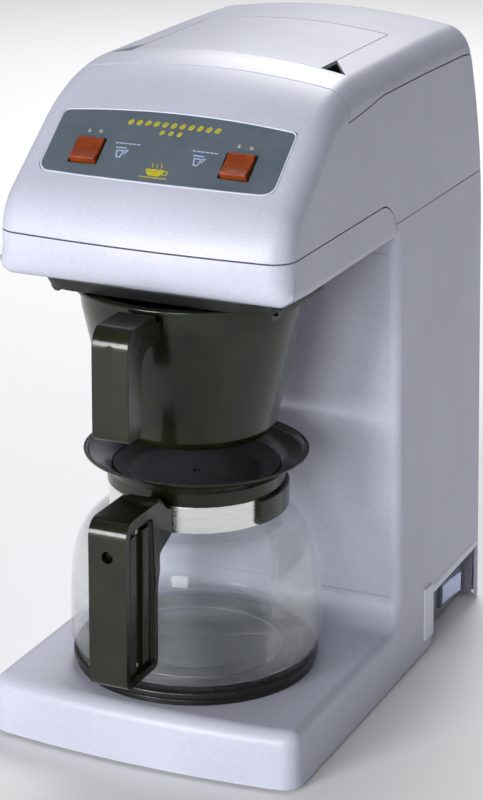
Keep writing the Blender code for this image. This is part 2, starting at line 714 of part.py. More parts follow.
# ---------------------------------------------------------------- tank and lid
def make_tank_lid():
    """Lid of the filling opening, on two pins in brackets under the cover."""
    pivot_y, pivot_z = LID_PIVOT
    region = box("tank_lid", ABS, (-LID_X, LID_FRONT, 420 * MM), (LID_X, LID_REAR, 480 * MM))
    lid = shell("tank_lid", region)
    moving = [lid]
    for side, name in ((-1, "left"), (1, "right")):
        rib_x, bracket_x = side * RIB_X, side * BRACKET_X
        rib = box("lid_rib_%s" % name, None, (rib_x - 1.5 * MM, 50 * MM, pivot_z - 4 * MM),
                  (rib_x + 1.5 * MM, 78 * MM, 440.8 * MM))
        combine(lid, rib, 'UNION')
        hole_at, bore_at = (rib_x, pivot_y, pivot_z), (bracket_x, pivot_y, pivot_z)
        combine(lid, cylinder("lid_pin_hole_%s" % name, None, PIN_BORE_R, hole_at, 12 * MM, 'X', 16))
        pin_at = ((rib_x + bracket_x) / 2, pivot_y, pivot_z)
        moving.append(cylinder("lid_pin_%s" % name, STEEL, PIN_R, pin_at, PIN_LENGTH, 'X', 16))
        bracket = box("hinge_bracket_%s" % name, BLACK,
                      (bracket_x - 2.5 * MM, pivot_y - 7 * MM, pivot_z - 6 * MM),
                      (bracket_x + 2.5 * MM, pivot_y + 7 * MM, pivot_z + 3.4 * MM), 1 * MM)
        combine(bracket, cylinder("bracket_bore_%s" % name, None, PIN_BORE_R, bore_at, 12 * MM, 'X', 16))
    carry("tank_lid_axis", (0, pivot_y, pivot_z), moving)


def open_box(name, surface, low, high, wall):
    """A box with a floor and four walls, open above."""
    made = box(name, surface, low, high)
    hollow = box(name + "_hollow", None, [v + wall for v in low],
                 (high[0] - wall, high[1] - wall, high[2] + 20 * MM))
    return combine(made, hollow)


def make_water_path():
    """Filling tray, tank, heater, tubes and spray head, in the order the water runs."""
    tray = open_box("fill_tray", TANK_PLASTIC, mm(-84, -46, 402), mm(84, 93, 424), 2 * MM)
    combine(tray, box("fill_slot", None, mm(-50, 56, 390), mm(50, 82, 410)))
    strainer = box("fill_strainer", STEEL, mm(-54, 52, 404.3), mm(54, 86, 405.3))
    for column in range(6):
        x = (column * 18 - 45) * MM
        combine(strainer, box("strainer_slot_%d" % column, None, (x - 5 * MM, 58 * MM, 400 * MM),
                              (x + 5 * MM, 80 * MM, 410 * MM)))
    half, y_from, y_to, z_from, z_to = TANK
    tank = open_box("water_tank", TANK_PLASTIC, (-half, y_from, z_from), (half, y_to, z_to), 2 * MM)
    combine(tank, cylinder("tank_outlet", None, 5 * MM, (0, 100 * MM, z_from), 20 * MM, sides=16))
    outlet = [((0, 100 * MM, z_from - 0.4 * MM), 0), (mm(0, 100, 180), 12 * MM),
              (mm(0, 86, 150), 12 * MM), (mm(0, 86, 136.4), 0)]
    tube("tank_outlet_tube", SILICONE, rounded_path(outlet), 6 * MM)
    cylinder("check_valve", BLACK, 8 * MM, mm(0, 86, 128), 16 * MM, 'Z', 16)
    box("heater_block", ALUMINIUM, mm(-62, 62, 82), mm(62, 112, 119.6), 4 * MM)
    riser = [(mm(44, 86, 120), 0), (mm(44, 86, 150), 14 * MM), (mm(44, 39.4, 190), 14 * MM),
             (mm(44, 39.4, 356), 20 * MM), (mm(0, -79, 356), 18 * MM), (mm(0, -79, 330.4), 0)]
    tube("riser_tube", SILICONE, rounded_path(riser), 5 * MM)
    head = [(0, 330), (14, 330), (38, 326), (38, 314), (0, 314)]
    turned("spray_head", BLACK, [mm(r, z) for r, z in head], (0, BREW_Y, 0), 28)
    cylinder("brew_thermostat", CERAMIC, 8 * MM, mm(-40, 87, 124), 8 * MM, 'Z', 16)
    box("terminal_block", CERAMIC, mm(20, 120, 20), mm(60, 140, 36), 1 * MM)


# ---------------------------------------------------------------- hot plate
def make_hot_plate():
    """Plate, trim ring, element and thermostat of the warmer."""
    disc("warmer_plate", BLACK, 82 * MM, 45.6 * MM, PLATE_TOP, CARAFE_Y, 1.5 * MM, 48)
    ring = [(80, 45.3), (80, 41.4), (58, 41.4), (58, 45.3)]
    turned("warmer_ring", STEEL, [mm(r, z) for r, z in ring], (0, CARAFE_Y, 0), 48)
    bpy.ops.mesh.primitive_torus_add(location=(0, CARAFE_Y, 40.6 * MM), major_radius=42 * MM,
                                     minor_radius=4.5 * MM, major_segments=28, minor_segments=8)
    bpy.context.view_layer.update()
    smooth(adopt("warmer_element", STEEL))
    cylinder("warmer_thermostat", CERAMIC, 9 * MM, (0, CARAFE_Y, 41 * MM), 8 * MM, 'Z', 16)


# ---------------------------------------------------------------- brew basket
def make_basket_holder():
    """Black plate under the head with the two rails that the basket slides in."""
    holder = box("basket_holder", BLACK, (-RAIL_OUTER, -146 * MM, 307 * MM),
                 (RAIL_OUTER, 20 * MM, UNDERSIDE - GAP))
    opening_at = (0, BREW_Y, 312 * MM)
    combine(holder, cylinder("holder_opening", None, SPRAY_OPENING_R, opening_at, 30 * MM, sides=32))
    for name, side in (("left", -1), ("right", 1)):
        lip = sorted((side * RAIL_INNER, side * RAIL_OUTER))
        rail = box("basket_rail_%s" % name, BLACK, (lip[0], -140 * MM, 297 * MM),
                   (lip[1], -54 * MM, 306.7 * MM))
        groove = sorted((side * (RAIL_INNER - 5 * MM), side * (FLANGE_R + 0.8 * MM)))
        combine(rail, box("rail_groove_%s" % name, None, (groove[0], -150 * MM, 299.6 * MM),
                          (groove[1], -30 * MM, 304 * MM)))
    return holder


def make_brew_basket():
    """Basket bowl with its sliding flange, its handle and the handle's screw."""
    r = BASKET_R / MM
    top, rim = BASKET_TOP / MM, FLANGE_R / MM
    bottom = BASKET_BOTTOM / MM
    outside = [(rim, top), (rim, top - 2.8), (r, top - 2.8), (r - 1, 290), (54, bottom + 4), (50, bottom),
               (14, 205.5), (10, 199)]
    inside = [(5, 199), (5, 208), (48, 209.6), (51.4, 212.4), (r - 3.2, 294), (r - 2.4, top)]
    bowl = turned("basket_bowl", BLACK, [mm(a, b) for a, b in outside + inside], (0, BREW_Y, 0), 44)
    grip = [(-199, 236), (-197, 233), (-183, 233), (-181, 236), (-181, 278), (-174, 287), (-153.4, 287),
            (-153.4, 299.8), (-159.5, 299.8), (-160.5, 305), (-191, 305), (-197, 302), (-199, 296)]
    handle = slab("basket_handle", BLACK, [mm(*p) for p in grip], *mm(-12.5, 12.5), 1.2 * MM)
    combine(handle, cylinder("basket_screw_hole", None, 3.4 * MM, mm(0, -199, 292), 12 * MM, 'Y', 16))
    screw = cylinder("basket_handle_screw", STEEL, 3 * MM, mm(0, -194.9, 292), 3.4 * MM, 'Y', 16)
    carry("brew_basket_axis", (0, BREW_Y, BASKET_TOP), [bowl, handle, screw])


# ---------------------------------------------------------------- carafe
def carafe_side():
    """Outer side of the glass from the rim to the foot, as (radius, height)."""
    neck = BAND_R - 1.9 * MM
    shoulder = [(neck + (82.5 * MM - neck) * math.sin(math.radians(a)),
                 (105 + 44 * math.cos(math.radians(a))) * MM) for a in range(10, 91, 16)]
    foot = [(CARAFE_R, 62 * MM), (CARAFE_R - 1 * MM, 57 * MM), (CARAFE_R - 5 * MM, 53.2 * MM),
            (CARAFE_R - 11 * MM, PLATE_TOP + GAP)]
    return [(neck, BAND_Z[1]), (neck, BAND_Z[0] - 1 * MM)] + shoulder + foot


def make_carafe():
    """Glass, steel band, rear collar, handle and screw."""
    wall = 2 * MM
    outside = carafe_side()
    inside = [(r - wall, z) for r, z in outside[:-2]]
    inside += [(CARAFE_R - 8 * MM, 56.5 * MM), (CARAFE_R - 13 * MM, 55 * MM)]
    floor, below = (0, 55.5 * MM), (0, PLATE_TOP + 1.5 * MM)
    glass = turned("carafe_glass", GLASS, [floor] + inside[::-1] + outside + [below], (0, CARAFE_Y, 0), 44)
    low, high = BAND_Z
    ring = [(BAND_R, high), (BAND_R, low), (BAND_R - 1.5 * MM, low), (BAND_R - 1.5 * MM, high)]
    band = turned("carafe_band", STEEL, ring, (0, CARAFE_Y, 0), 44)
    outer, inner, edge = BAND_R + 3.8 * MM, BAND_R + GAP, low + 1.5 * MM
    ring = [(outer, high), (outer, edge), (inner, edge), (inner, high)]
    collar = turned("carafe_collar", BLACK, ring, (0, CARAFE_Y, 0), 44)
    combine(collar, box("collar_front_cut", None, (-90 * MM, -200 * MM, 120 * MM),
                        (90 * MM, COLLAR_CUT_Y, 190 * MM)))
    carried = [glass, band, collar] + make_carafe_handle()
    return carry("carafe_axis", (0, CARAFE_Y, PLATE_TOP), carried)


def make_carafe_handle():
    """Slab grip with hollow sides and the arm that holds the band."""
    front = HANDLE_FRONT / MM
    rear = -162
    hole_z = 160 * MM
    grip = arc(mm(front + 8, 175), 8 * MM, 180, 90, 3) + [mm(-150, 183)]
    grip += [mm(-141, 172), mm(-132.6, 168.5), mm(-132.6, 152), mm(-150, 145), mm(rear, 130)]
    grip += arc(mm(rear - 5, 76), 5 * MM, 0, -90, 2) + arc(mm(front + 7, 78), 7 * MM, 270, 180, 3)
    handle = slab("carafe_handle", BLACK, grip, *mm(-13, 13))
    for side, name in ((-1, "left"), (1, "right")):
        arm = sorted((side * 10 * MM, side * 20 * MM))
        combine(handle, box("arm_waist_%s" % name, None, (arm[0], -156.3 * MM, 120 * MM),
                            (arm[1], -120 * MM, 190 * MM)))
    bevel(handle, 1.8 * MM)
    for side, name in ((-1, "left"), (1, "right")):
        hollow = sorted((side * 9 * MM, side * 20 * MM))
        combine(handle, box("grip_hollow_%s" % name, None, (hollow[0], -196 * MM, 80 * MM),
                            (hollow[1], -168 * MM, 170 * MM)))
    combine(handle, cylinder("handle_screw_hole", None, 4 * MM, (0, HANDLE_FRONT, hole_z), 16 * MM, 'Y', 16))
    screw_at = (0, HANDLE_FRONT + 5.6 * MM, hole_z)
    return [handle, cylinder("carafe_handle_screw", STEEL, 3.5 * MM, screw_at, 4 * MM, 'Y', 16)]


def make_carafe_lid(carafe_axis):
    """Dished lid with a drip hole in its middle and a plug that sits in the neck."""
    rim, top, neck = DISH_R / MM, DISH_Z / MM, BAND_Z[1] / MM
    outside = [(rim, top), (rim - 0.6, top - 2), (61, top - 9.5), (59, top - 12), (58.5, neck + 0.3)]
    plug = [(52, neck + 0.3), (52, neck - 6), (48, neck - 6), (48, neck)]
    drip_hole = [(10, neck + 2), (5, neck + 2), (5, neck + 5)]
    dish = [(40, neck + 7), (60, top - 8), (70, top - 2.6), (72, top)]
    profile = [mm(r, z) for r, z in outside + plug + drip_hole + dish]
    lid = turned("carafe_lid", BLACK, profile, (0, CARAFE_Y, 0), 48)
    axis = carry("carafe_lid_axis", (0, CARAFE_Y, DISH_Z), [lid])
    axis.parent = carafe_axis
    axis.matrix_parent_inverse = carafe_axis.matrix_world.inverted()


def main():
    """Build every part in the order the machine is put together."""
    make_main_body()
    make_column_front_panel()
    make_rear_panel()
    make_power_inlet()
    make_head_housing()
    make_top_cover()
    make_head_undercover()
    make_base_plate()
    make_control_panel()
    make_power_switch()
    make_tank_lid()
    make_water_path()
    make_hot_plate()
    make_basket_holder()
    make_brew_basket()
    carafe_axis = make_carafe()
    make_carafe_lid(carafe_axis)
    bpy.context.view_layer.update()


main()
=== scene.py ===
"""Looks of a pour-over drip coffee maker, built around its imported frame.

Every piece is in metres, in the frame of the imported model: +Z up, the front faces -Y.
Each sub-assembly is a class that builds its meshes, gives them a finish and hands them in.
"""
from __future__ import annotations

import json
import logging
import math
from dataclasses import dataclass, field
from enum import Enum
from typing import Any, Iterable, Sequence

import bmesh
import bpy
from mathutils import Matrix, Quaternion, Vector
from mathutils.bvhtree import BVHTree

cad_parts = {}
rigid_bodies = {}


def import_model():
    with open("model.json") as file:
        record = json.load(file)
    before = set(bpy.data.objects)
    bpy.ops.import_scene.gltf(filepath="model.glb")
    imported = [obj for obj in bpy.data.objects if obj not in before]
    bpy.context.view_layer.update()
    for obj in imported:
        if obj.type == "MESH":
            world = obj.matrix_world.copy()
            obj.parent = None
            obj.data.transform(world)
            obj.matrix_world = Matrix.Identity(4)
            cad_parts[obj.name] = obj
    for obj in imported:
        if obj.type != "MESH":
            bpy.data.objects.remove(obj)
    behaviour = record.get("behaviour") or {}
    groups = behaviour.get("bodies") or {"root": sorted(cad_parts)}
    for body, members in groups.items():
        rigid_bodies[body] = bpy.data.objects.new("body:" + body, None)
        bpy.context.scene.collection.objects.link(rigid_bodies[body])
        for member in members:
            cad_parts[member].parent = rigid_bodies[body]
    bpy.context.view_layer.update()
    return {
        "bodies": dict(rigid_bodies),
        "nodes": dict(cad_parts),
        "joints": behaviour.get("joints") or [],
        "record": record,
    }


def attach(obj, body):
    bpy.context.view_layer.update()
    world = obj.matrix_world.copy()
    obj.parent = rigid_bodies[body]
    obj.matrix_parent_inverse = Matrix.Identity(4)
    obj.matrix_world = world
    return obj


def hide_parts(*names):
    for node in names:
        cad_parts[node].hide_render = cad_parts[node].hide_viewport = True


MM = 0.001
LOG = logging.getLogger("coffee_maker")
Point2 = tuple[float, float]


class Body(Enum):
    """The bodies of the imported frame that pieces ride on."""

    MACHINE = "machine"
    TANK_LID = "tank_lid"
    BREW_ROCKER = "brew_rocker"
    WARMER_ROCKER = "warmer_rocker"
    POWER_ROCKER = "power_rocker"
    BASKET = "brew_basket"
    CARAFE = "carafe"
    CARAFE_LID = "carafe_lid"


class Slot(Enum):
    """The record's material slots."""

    ABS = "abs_body"
    PANEL = "panel_grey"
    BLACK = "black_moulding"
    ORANGE = "switch_orange"
    WHITE = "switch_white"
    LENS = "lamp_lens"
    STEEL = "steel"
    ALUMINIUM = "aluminium"
    PLATE = "plate_black"
    GLASS = "carafe_glass"
    RUBBER = "foot_rubber"
    TANK = "tank_plastic"
    SILICONE = "silicone"
    CERAMIC = "ceramic"
    BOARD = "circuit_board"


class Operation(Enum):
    """What a solid tool does to another piece."""

    CUT = "DIFFERENCE"
    JOIN = "UNION"
    KEEP = "INTERSECT"


# ---------------------------------------------------------------- finishes
def linear(code: str) -> tuple[float, float, float, float]:
    """Turn a colour from sRGB hex to linear.

    Args:
        code: six hex digits.

    Returns:
        Linear red, green, blue and an alpha of one.
    """
    parts = [int(code[i:i + 2], 16) / 255 for i in (0, 2, 4)]
    red, green, blue = [c / 12.92 if c <= 0.04045 else ((c + 0.055) / 1.055) ** 2.4 for c in parts]
    return red, green, blue, 1.0


def add_node(tree: bpy.types.NodeTree, kind: str, settings: dict[Any, Any] | None = None,
             links: dict[Any, bpy.types.NodeSocket] | None = None) -> bpy.types.Node:
    """Add a node with its settings and its links.

    Args:
        tree: the tree that it goes in.
        kind: the node's type.
        settings: values by input name or number, or by the node's own lower-case property.
        links: sockets that feed the inputs, by input name or number.

    Returns:
        The new node.
    """
    made = tree.nodes.new(kind)
    for key, value in (settings or {}).items():
        if isinstance(key, str) and key.islower():
            setattr(made, key, value)
        else:
            made.inputs[key].default_value = value
    for key, socket in (links or {}).items():
        tree.links.new(socket, made.inputs[key])
    return made


@dataclass(frozen=True)
class Finish:
    """A surface as it is made: two close tones in drifts, and a fine grain.

    The tones drift over `drift` millimetres, and the grain is `grain` millimetres across
    and `depth` millimetres deep. The roughness wanders by `wander` round its middle.
    """

    name: str
    slot: Slot
    tone: str
    other: str
    roughness: float
    wander: float = 0.05
    metallic: float = 0.0
    ior: float = 1.5
    drift: float = 60.0
    grain: float = 1.0
    depth: float = 0.02
    stretch: tuple[float, float, float] = (1.0, 1.0, 1.0)
    extra: tuple[tuple[str, Any], ...] = ()

    def build(self) -> bpy.types.Material:
        """Make the material, or return it where it is already made."""
        known = bpy.data.materials.get(self.name)
        if known:
            return known
        made = bpy.data.materials.new(self.name)
        made.use_nodes = True
        made.diffuse_color = linear(self.tone)
        tree = made.node_tree
        shader = tree.nodes["Principled BSDF"]
        shader.inputs["Metallic"].default_value = self.metallic
        if not self.metallic:
            shader.inputs["IOR"].default_value = self.ior
        for name, value in self.extra:
            shader.inputs[name].default_value = value
        place = add_node(tree, "ShaderNodeTexCoord").outputs["Object"]
        spread = add_node(tree, "ShaderNodeMapping", {"Scale": self.stretch}, {"Vector": place})
        self.colour(tree, shader, spread.outputs["Vector"])
        self.surface(tree, shader, spread.outputs["Vector"])
        return made

    def colour(self, tree: bpy.types.NodeTree, shader: bpy.types.Node,
               place: bpy.types.NodeSocket) -> None:
        """Feed the base colour with the two tones in drifts.

        Args:
            tree: the material's tree.
            shader: its surface shader.
            place: where on the piece a pattern is read.
        """
        drift = add_node(tree, "ShaderNodeTexNoise",
                         {"Scale": 1000 / self.drift, "Detail": 3.0, "Roughness": 0.55},
                         {"Vector": place})
        ramp = add_node(tree, "ShaderNodeMapRange",
                        {"From Min": 0.35, "From Max": 0.65}, {"Value": drift.outputs["Fac"]})
        mix = add_node(tree, "ShaderNodeMix",
                       {"data_type": 'RGBA', 6: linear(self.tone), 7: linear(self.other)},
                       {0: ramp.outputs["Result"]})
        tree.links.new(mix.outputs[2], shader.inputs["Base Color"])

    def surface(self, tree: bpy.types.NodeTree, shader: bpy.types.Node,
                place: bpy.types.NodeSocket) -> None:
        """Feed the roughness and the normal with the grain.

        Args:
            tree: the material's tree.
            shader: its surface shader.
            place: where on the piece a pattern is read.
        """
        grain = add_node(tree, "ShaderNodeTexNoise",
                         {"Scale": 1000 / self.grain, "Detail": 2.0, "Roughness": 0.6},
                         {"Vector": place})
        gloss = add_node(tree, "ShaderNodeMapRange",
                         {"From Min": 0.3, "From Max": 0.7,
                          "To Min": self.roughness - self.wander,
                          "To Max": self.roughness + self.wander},
                         {"Value": grain.outputs["Fac"]})
        tree.links.new(gloss.outputs["Result"], shader.inputs["Roughness"])
        bump = add_node(tree, "ShaderNodeBump",
                        {"Strength": 1.0, "Distance": self.depth * MM},
                        {"Height": grain.outputs["Fac"]})
        tree.links.new(bump.outputs["Normal"], shader.inputs["Normal"])


@dataclass(frozen=True)
class Speckled(Finish):
    """A spark-eroded moulding, whose pits catch the light as fine pale and dark specks."""

    pale: str = "E6E8F0"
    dark: str = "8F91A0"
    speck: float = 1.3

    def colour(self, tree: bpy.types.NodeTree, shader: bpy.types.Node,
               place: bpy.types.NodeSocket) -> None:
        """Feed the base colour with the two tones and the specks.

        Args:
            tree: the material's tree.
            shader: its surface shader.
            place: where on the piece a pattern is read.
        """
        Finish.colour(self, tree, shader, place)
        base = shader.inputs["Base Color"].links[0].from_socket
        specks = add_node(tree, "ShaderNodeTexNoise",
                          {"Scale": 1000 / self.speck, "Detail": 1.0, "Roughness": 0.5},
                          {"Vector": place})
        for code, low, high in ((self.pale, 0.60, 0.74), (self.dark, 0.40, 0.27)):
            share = add_node(tree, "ShaderNodeMapRange",
                             {"From Min": low, "From Max": high, "To Max": 0.2},
                             {"Value": specks.outputs["Fac"]})
            mix = add_node(tree, "ShaderNodeMix", {"data_type": 'RGBA', 7: linear(code)},
                           {0: share.outputs["Result"], 6: base})
            base = mix.outputs[2]
        tree.links.new(base, shader.inputs["Base Color"])


@dataclass(frozen=True)
class ClearGlass(Finish):
    """Borosilicate glass, which has one faint grey-green tint."""

    def colour(self, tree: bpy.types.NodeTree, shader: bpy.types.Node,
               place: bpy.types.NodeSocket) -> None:
        """Set the one tint, because glass has no drifts."""
        shader.inputs["Base Color"].default_value = linear(self.tone)


# Injection-moulded ABS from a spark-eroded tool: matt, with a fine bright sparkle.
# The real pits are 0.1 to 0.2 mm across and are drawn about 1.3 mm so that they show.
HOUSING_ABS = Speckled("abs_spark_texture_lavender", Slot.ABS, "B7B9C9", "BEC0D0", 0.42, 0.07,
                       drift=90, grain=0.9, depth=0.035)
# Screen-printed ABS facing: a satin slate grey film with a slight orange peel.
PANEL_ABS = Finish("abs_facing_slate_grey", Slot.PANEL, "4F5A64", "57626C", 0.4, 0.05,
                   drift=25, grain=2.5, depth=0.015)
# The moulded lip round the facing: pale, and bright where it turns to the light.
PANEL_BORDER = Finish("printed_border_pale_grey", Slot.PANEL, "BCC1D2", "C6CBDA", 0.4, 0.05,
                      drift=8, grain=0.6, depth=0.01)
# Compression-moulded phenolic: deep olive black, glossy, with faint flow clouds.
PHENOLIC = Finish("phenolic_olive_black", Slot.BLACK, "12150A", "1A1E0D", 0.19, 0.05, ior=1.47,
                  drift=18, grain=3.0, depth=0.015)
# The same moulding inside a bowl, where coffee has dulled it.
PHENOLIC_DULL = Finish("phenolic_dulled", Slot.BLACK, "12120B", "1F1C13", 0.45, 0.1, ior=1.5,
                       drift=9, grain=1.5, depth=0.03)
# Moulded black ABS: matt, so that it reads as a dark gap under the head.
BLACK_ABS = Finish("abs_black_matt", Slot.BLACK, "121312", "1A1B1A", 0.5, 0.08, ior=1.45,
                   drift=12, grain=0.7, depth=0.02)
# Tinted translucent acrylic of a lit rocker: saturated orange with a wet gloss.
ROCKER_ORANGE = Finish("acrylic_orange_red", Slot.ORANGE, "7A300B", "8A3B0F", 0.28, 0.05, ior=1.45,
                       drift=7, grain=1.2, depth=0.01,
                       extra=(("Subsurface Weight", 0.15),
                              ("Subsurface Radius", (0.004, 0.001, 0.0005)),
                              ("Subsurface Scale", 0.5)))
# Tinted acrylic of the main switch: a cool bluish white that stands out in its shaded recess.
ROCKER_WHITE = Finish("acrylic_bluish_white", Slot.WHITE, "C3D0FF", "CFDBFF", 0.25, 0.05, ior=1.49,
                      drift=9, grain=1.2, depth=0.01)
# Frosted acrylic of the lamps: a dull grey while they are off.
LENS_CLEAR = Finish("acrylic_lens_diffusing", Slot.LENS, "8E9290", "7F8382", 0.25, 0.04, ior=1.49,
                    drift=2, grain=0.5, depth=0.01)
# Rolled stainless strip: bright, with fine brush lines that run round the neck.
STEEL_BRUSHED = Finish("stainless_brushed", Slot.STEEL, "E2E4E2", "EFF0EE", 0.24, 0.09, metallic=1.0,
                       drift=12, grain=6.0, depth=0.006, stretch=(1.0, 1.0, 22.0))
# Zinc-plated steel: pale, with a soft mirror.
STEEL_PLAIN = Finish("steel_zinc_plated", Slot.STEEL, "B4B7BA", "C6C8C9", 0.3, 0.1, metallic=1.0,
                     drift=5, grain=0.8, depth=0.01)
# Die-cast aluminium: grey, with a dull and slightly rough skin.
ALUMINIUM_CAST = Finish("aluminium_die_cast", Slot.ALUMINIUM, "A3A5A8", "B2B4B6", 0.45, 0.1,
                        metallic=1.0, drift=20, grain=1.2, depth=0.05)
# Baked non-stick coating: satin black with a fine sparkle of the filler.
PLATE_COATING = Finish("coating_black_satin", Slot.PLATE, "0F100D", "181914", 0.3, 0.08, ior=1.45,
                       drift=30, grain=0.8, depth=0.02)
# Blown borosilicate: clear, with soft reflections. The low alpha keeps the two faces of its
# thin wall from clouding what stands behind it.
CARAFE_GLASS = ClearGlass("glass_borosilicate", Slot.GLASS, "F3F8F6", "F3F8F6", 0.02, 0.01,
                          ior=1.474, grain=40, depth=0.05,
                          extra=(("Transmission Weight", 1.0), ("Alpha", 0.28)))
# The same ABS painted paler on the raised edge round the main switch: a painted highlight where it
# faces the light.
ABS_PAINTED_HIGHLIGHT = Speckled("abs_spark_texture_pale", Slot.ABS, "D2D4E2", "D9DBE8", 0.42, 0.07,
                    drift=90, grain=0.9, depth=0.035)
# The same ABS painted a darker mid grey inside the recess of the main switch: painted shade of the
# recess.
ABS_PAINTED_RECESS_SHADE = Finish("abs_mid_grey", Slot.ABS, "7C7E8B", "848694", 0.5, 0.08,
                  drift=12, grain=0.7, depth=0.02)
# Under the carafe the coating is painted a paler satin grey: a painted reflection of the glass's bottom
# seen through the carafe.
PLATE_PAINTED_REFLECTION = Finish("coating_rubbed_grey", Slot.PLATE, "7D7E76", "8A8B84", 0.34, 0.08, ior=1.45,
                    drift=14, grain=0.8, depth=0.02)
# Blackened screws sit deep in the carafe's grip.
STEEL_BLACKENED = Finish("steel_blackened", Slot.STEEL, "22221E", "2C2C28", 0.45, 0.08, metallic=1.0,
                         drift=5, grain=0.8, depth=0.01)
# The inside of the carafe's cover: a darker, duller black laid over the dish as painted shade, so that
# it stays black from above.
PHENOLIC_PAINTED_SHADE = Finish("phenolic_deep_black", Slot.BLACK, "080A05", "0E1008", 0.5, 0.06, ior=1.35,
                       drift=14, grain=2.0, depth=0.015)
# Moulded rubber: nearly black, and without gloss.
RUBBER = Finish("rubber_moulded_black", Slot.RUBBER, "1A1A1A", "232322", 0.75, 0.08,
                drift=8, grain=0.6, depth=0.03)
# Natural polypropylene: milky, so that the water's level shows.
TANK_PP = Finish("polypropylene_natural", Slot.TANK, "D4D5CD", "DEDFD8", 0.5, 0.06,
                 drift=40, grain=0.8, depth=0.02)
# Silicone tube: a soft creamy tone.
SILICONE = Finish("silicone_translucent", Slot.SILICONE, "D5D0C2", "DDD9CC", 0.45, 0.06,
                  drift=15, grain=1.0, depth=0.02)
# Unglazed ceramic: chalky and pale.
CERAMIC = Finish("ceramic_unglazed", Slot.CERAMIC, "E2DED3", "EAE7DE", 0.7, 0.08,
                 drift=6, grain=0.5, depth=0.03)
# Solder mask: the glossy green lacquer of a circuit board.
SOLDER_MASK = Finish("solder_mask_green", Slot.BOARD, "2A6437", "33713F", 0.35, 0.06,
                     drift=10, grain=1.5, depth=0.01)
# Screen-printed inks: flat, and a little duller than the facing under them.
PRINT_YELLOW = Finish("screen_print_yellow", Slot.PANEL, "A89E22", "C0B530", 0.5, 0.05,
                      drift=3, grain=0.4, depth=0.005)
PRINT_BLUE = Finish("screen_print_pale_blue", Slot.PANEL, "97A3C6", "A9B4D2", 0.5, 0.05,
                    drift=3, grain=0.4, depth=0.005)


# ---------------------------------------------------------------- mesh tools
def link_object(name: str, data: Any) -> bpy.types.Object:
    """Put a mesh or curve in the scene as an object at the origin.

    Args:
        name: the object's name.
        data: its mesh or curve.

    Returns:
        The new object.
    """
    made = bpy.data.objects.new(name, data)
    bpy.context.scene.collection.objects.link(made)
    return made


def from_shape(name: str, shape: bmesh.types.BMesh) -> bpy.types.Object:
    """Turn a bmesh into an object whose faces point out.

    Args:
        name: the object's name.
        shape: the bmesh, which is used up.

    Returns:
        The new object.
    """
    bmesh.ops.remove_doubles(shape, verts=shape.verts, dist=1e-6)
    bmesh.ops.recalc_face_normals(shape, faces=shape.faces)
    mesh = bpy.data.meshes.new(name)
    shape.to_mesh(mesh)
    shape.free()
    return link_object(name, mesh)


def apply_all(target: bpy.types.Object) -> bpy.types.Object:
    """Make an object's modifiers and place part of a plain mesh.

    Args:
        target: the object, a mesh or a curve.

    Returns:
        A new mesh object of the same name at the origin, or the same one where it was a mesh.
    """
    bpy.context.view_layer.update()
    ready = target.evaluated_get(bpy.context.evaluated_depsgraph_get())
    mesh = bpy.data.meshes.new_from_object(ready)
    mesh.transform(target.matrix_world)
    name = target.name
    bpy.data.objects.remove(target)
    mesh.name = name
    return link_object(name, mesh)


def combine(target: bpy.types.Object, tool: bpy.types.Object, operation: Operation = Operation.CUT,
            keep_tool: bool = False, careful: bool = False) -> bpy.types.Object:
    """Apply a solid tool to a piece at once.

    Args:
        target: the piece that is changed.
        tool: the closed mesh that changes it.
        operation: what the tool does.
        keep_tool: whether the tool is used again.
        careful: whether surfaces that cross themselves are sorted out first, which is slow.

    Returns:
        The changed piece, as a plain mesh.
    """
    cut = target.modifiers.new("tool", 'BOOLEAN')
    cut.operation = operation.value
    cut.solver = 'EXACT'
    cut.use_self = careful
    cut.object = tool
    done = apply_all(target)
    if not keep_tool:
        bpy.data.objects.remove(tool)
    return done


def soften(target: bpy.types.Object, width: float, segments: int = 3,
           angle: float = 35) -> bpy.types.Object:
    """Round the sharp edges of a piece and shade it smooth.

    Args:
        target: the piece.
        width: how far in from the edge the rounding starts.
        segments: how many faces it takes.
        angle: the least angle, in degrees, of an edge that is rounded.

    Returns:
        The rounded piece.
    """
    rounding = target.modifiers.new("rounded_edges", 'BEVEL')
    rounding.width = width
    rounding.segments = segments
    rounding.limit_method = 'ANGLE'
    rounding.angle_limit = math.radians(angle)
    return shade(apply_all(target), 40)


def shade(target: bpy.types.Object, angle: float = 30) -> bpy.types.Object:
    """Shade a piece smooth, with its real edges sharp and its large faces flat.

    Args:
        target: the piece.
        angle: the least angle, in degrees, of an edge that stays sharp.

    Returns:
        The shaded piece.
    """
    target.data.shade_smooth()
    target.data.set_sharp_from_angle(angle=math.radians(angle))
    even = target.modifiers.new("even_normals", 'WEIGHTED_NORMAL')
    even.keep_sharp = True
    even.weight = 80
    return apply_all(target)


def in_metres(points: Iterable[Sequence[float]]) -> list[tuple[float, ...]]:
    """Scale points, with any radius that they carry, from millimetres."""
    return [tuple(value * MM for value in point) for point in points]


def arc(centre: Point2, radius: float, start: float, end: float, count: int) -> list[Point2]:
    """Points on an arc, with its angles in degrees."""
    angles = [math.radians(start + (end - start) * i / count) for i in range(count + 1)]
    return [(centre[0] + radius * math.cos(a), centre[1] + radius * math.sin(a)) for a in angles]


def rounded(corners: Sequence[tuple[float, float, float]], count: int = 5) -> list[Point2]:
    """Follow a closed outline of (a, b, radius) and round each corner.

    Args:
        corners: the outline's corners with the radius of each.
        count: how many steps each corner takes.

    Returns:
        The points of the rounded outline.
    """
    points: list[Point2] = []
    for i, (a, b, radius) in enumerate(corners):
        here = Vector((a, b))
        before = Vector(corners[i - 1][:2])
        after = Vector(corners[(i + 1) % len(corners)][:2])
        if radius <= 0:
            points.append((a, b))
            continue
        back, ahead = (before - here).normalized(), (after - here).normalized()
        start, end = here + back * radius, here + ahead * radius
        for step in range(count + 1):
            t = step / count
            spot = start * (1 - t) ** 2 + here * 2 * t * (1 - t) + end * t * t
            points.append((spot.x, spot.y))
    return points


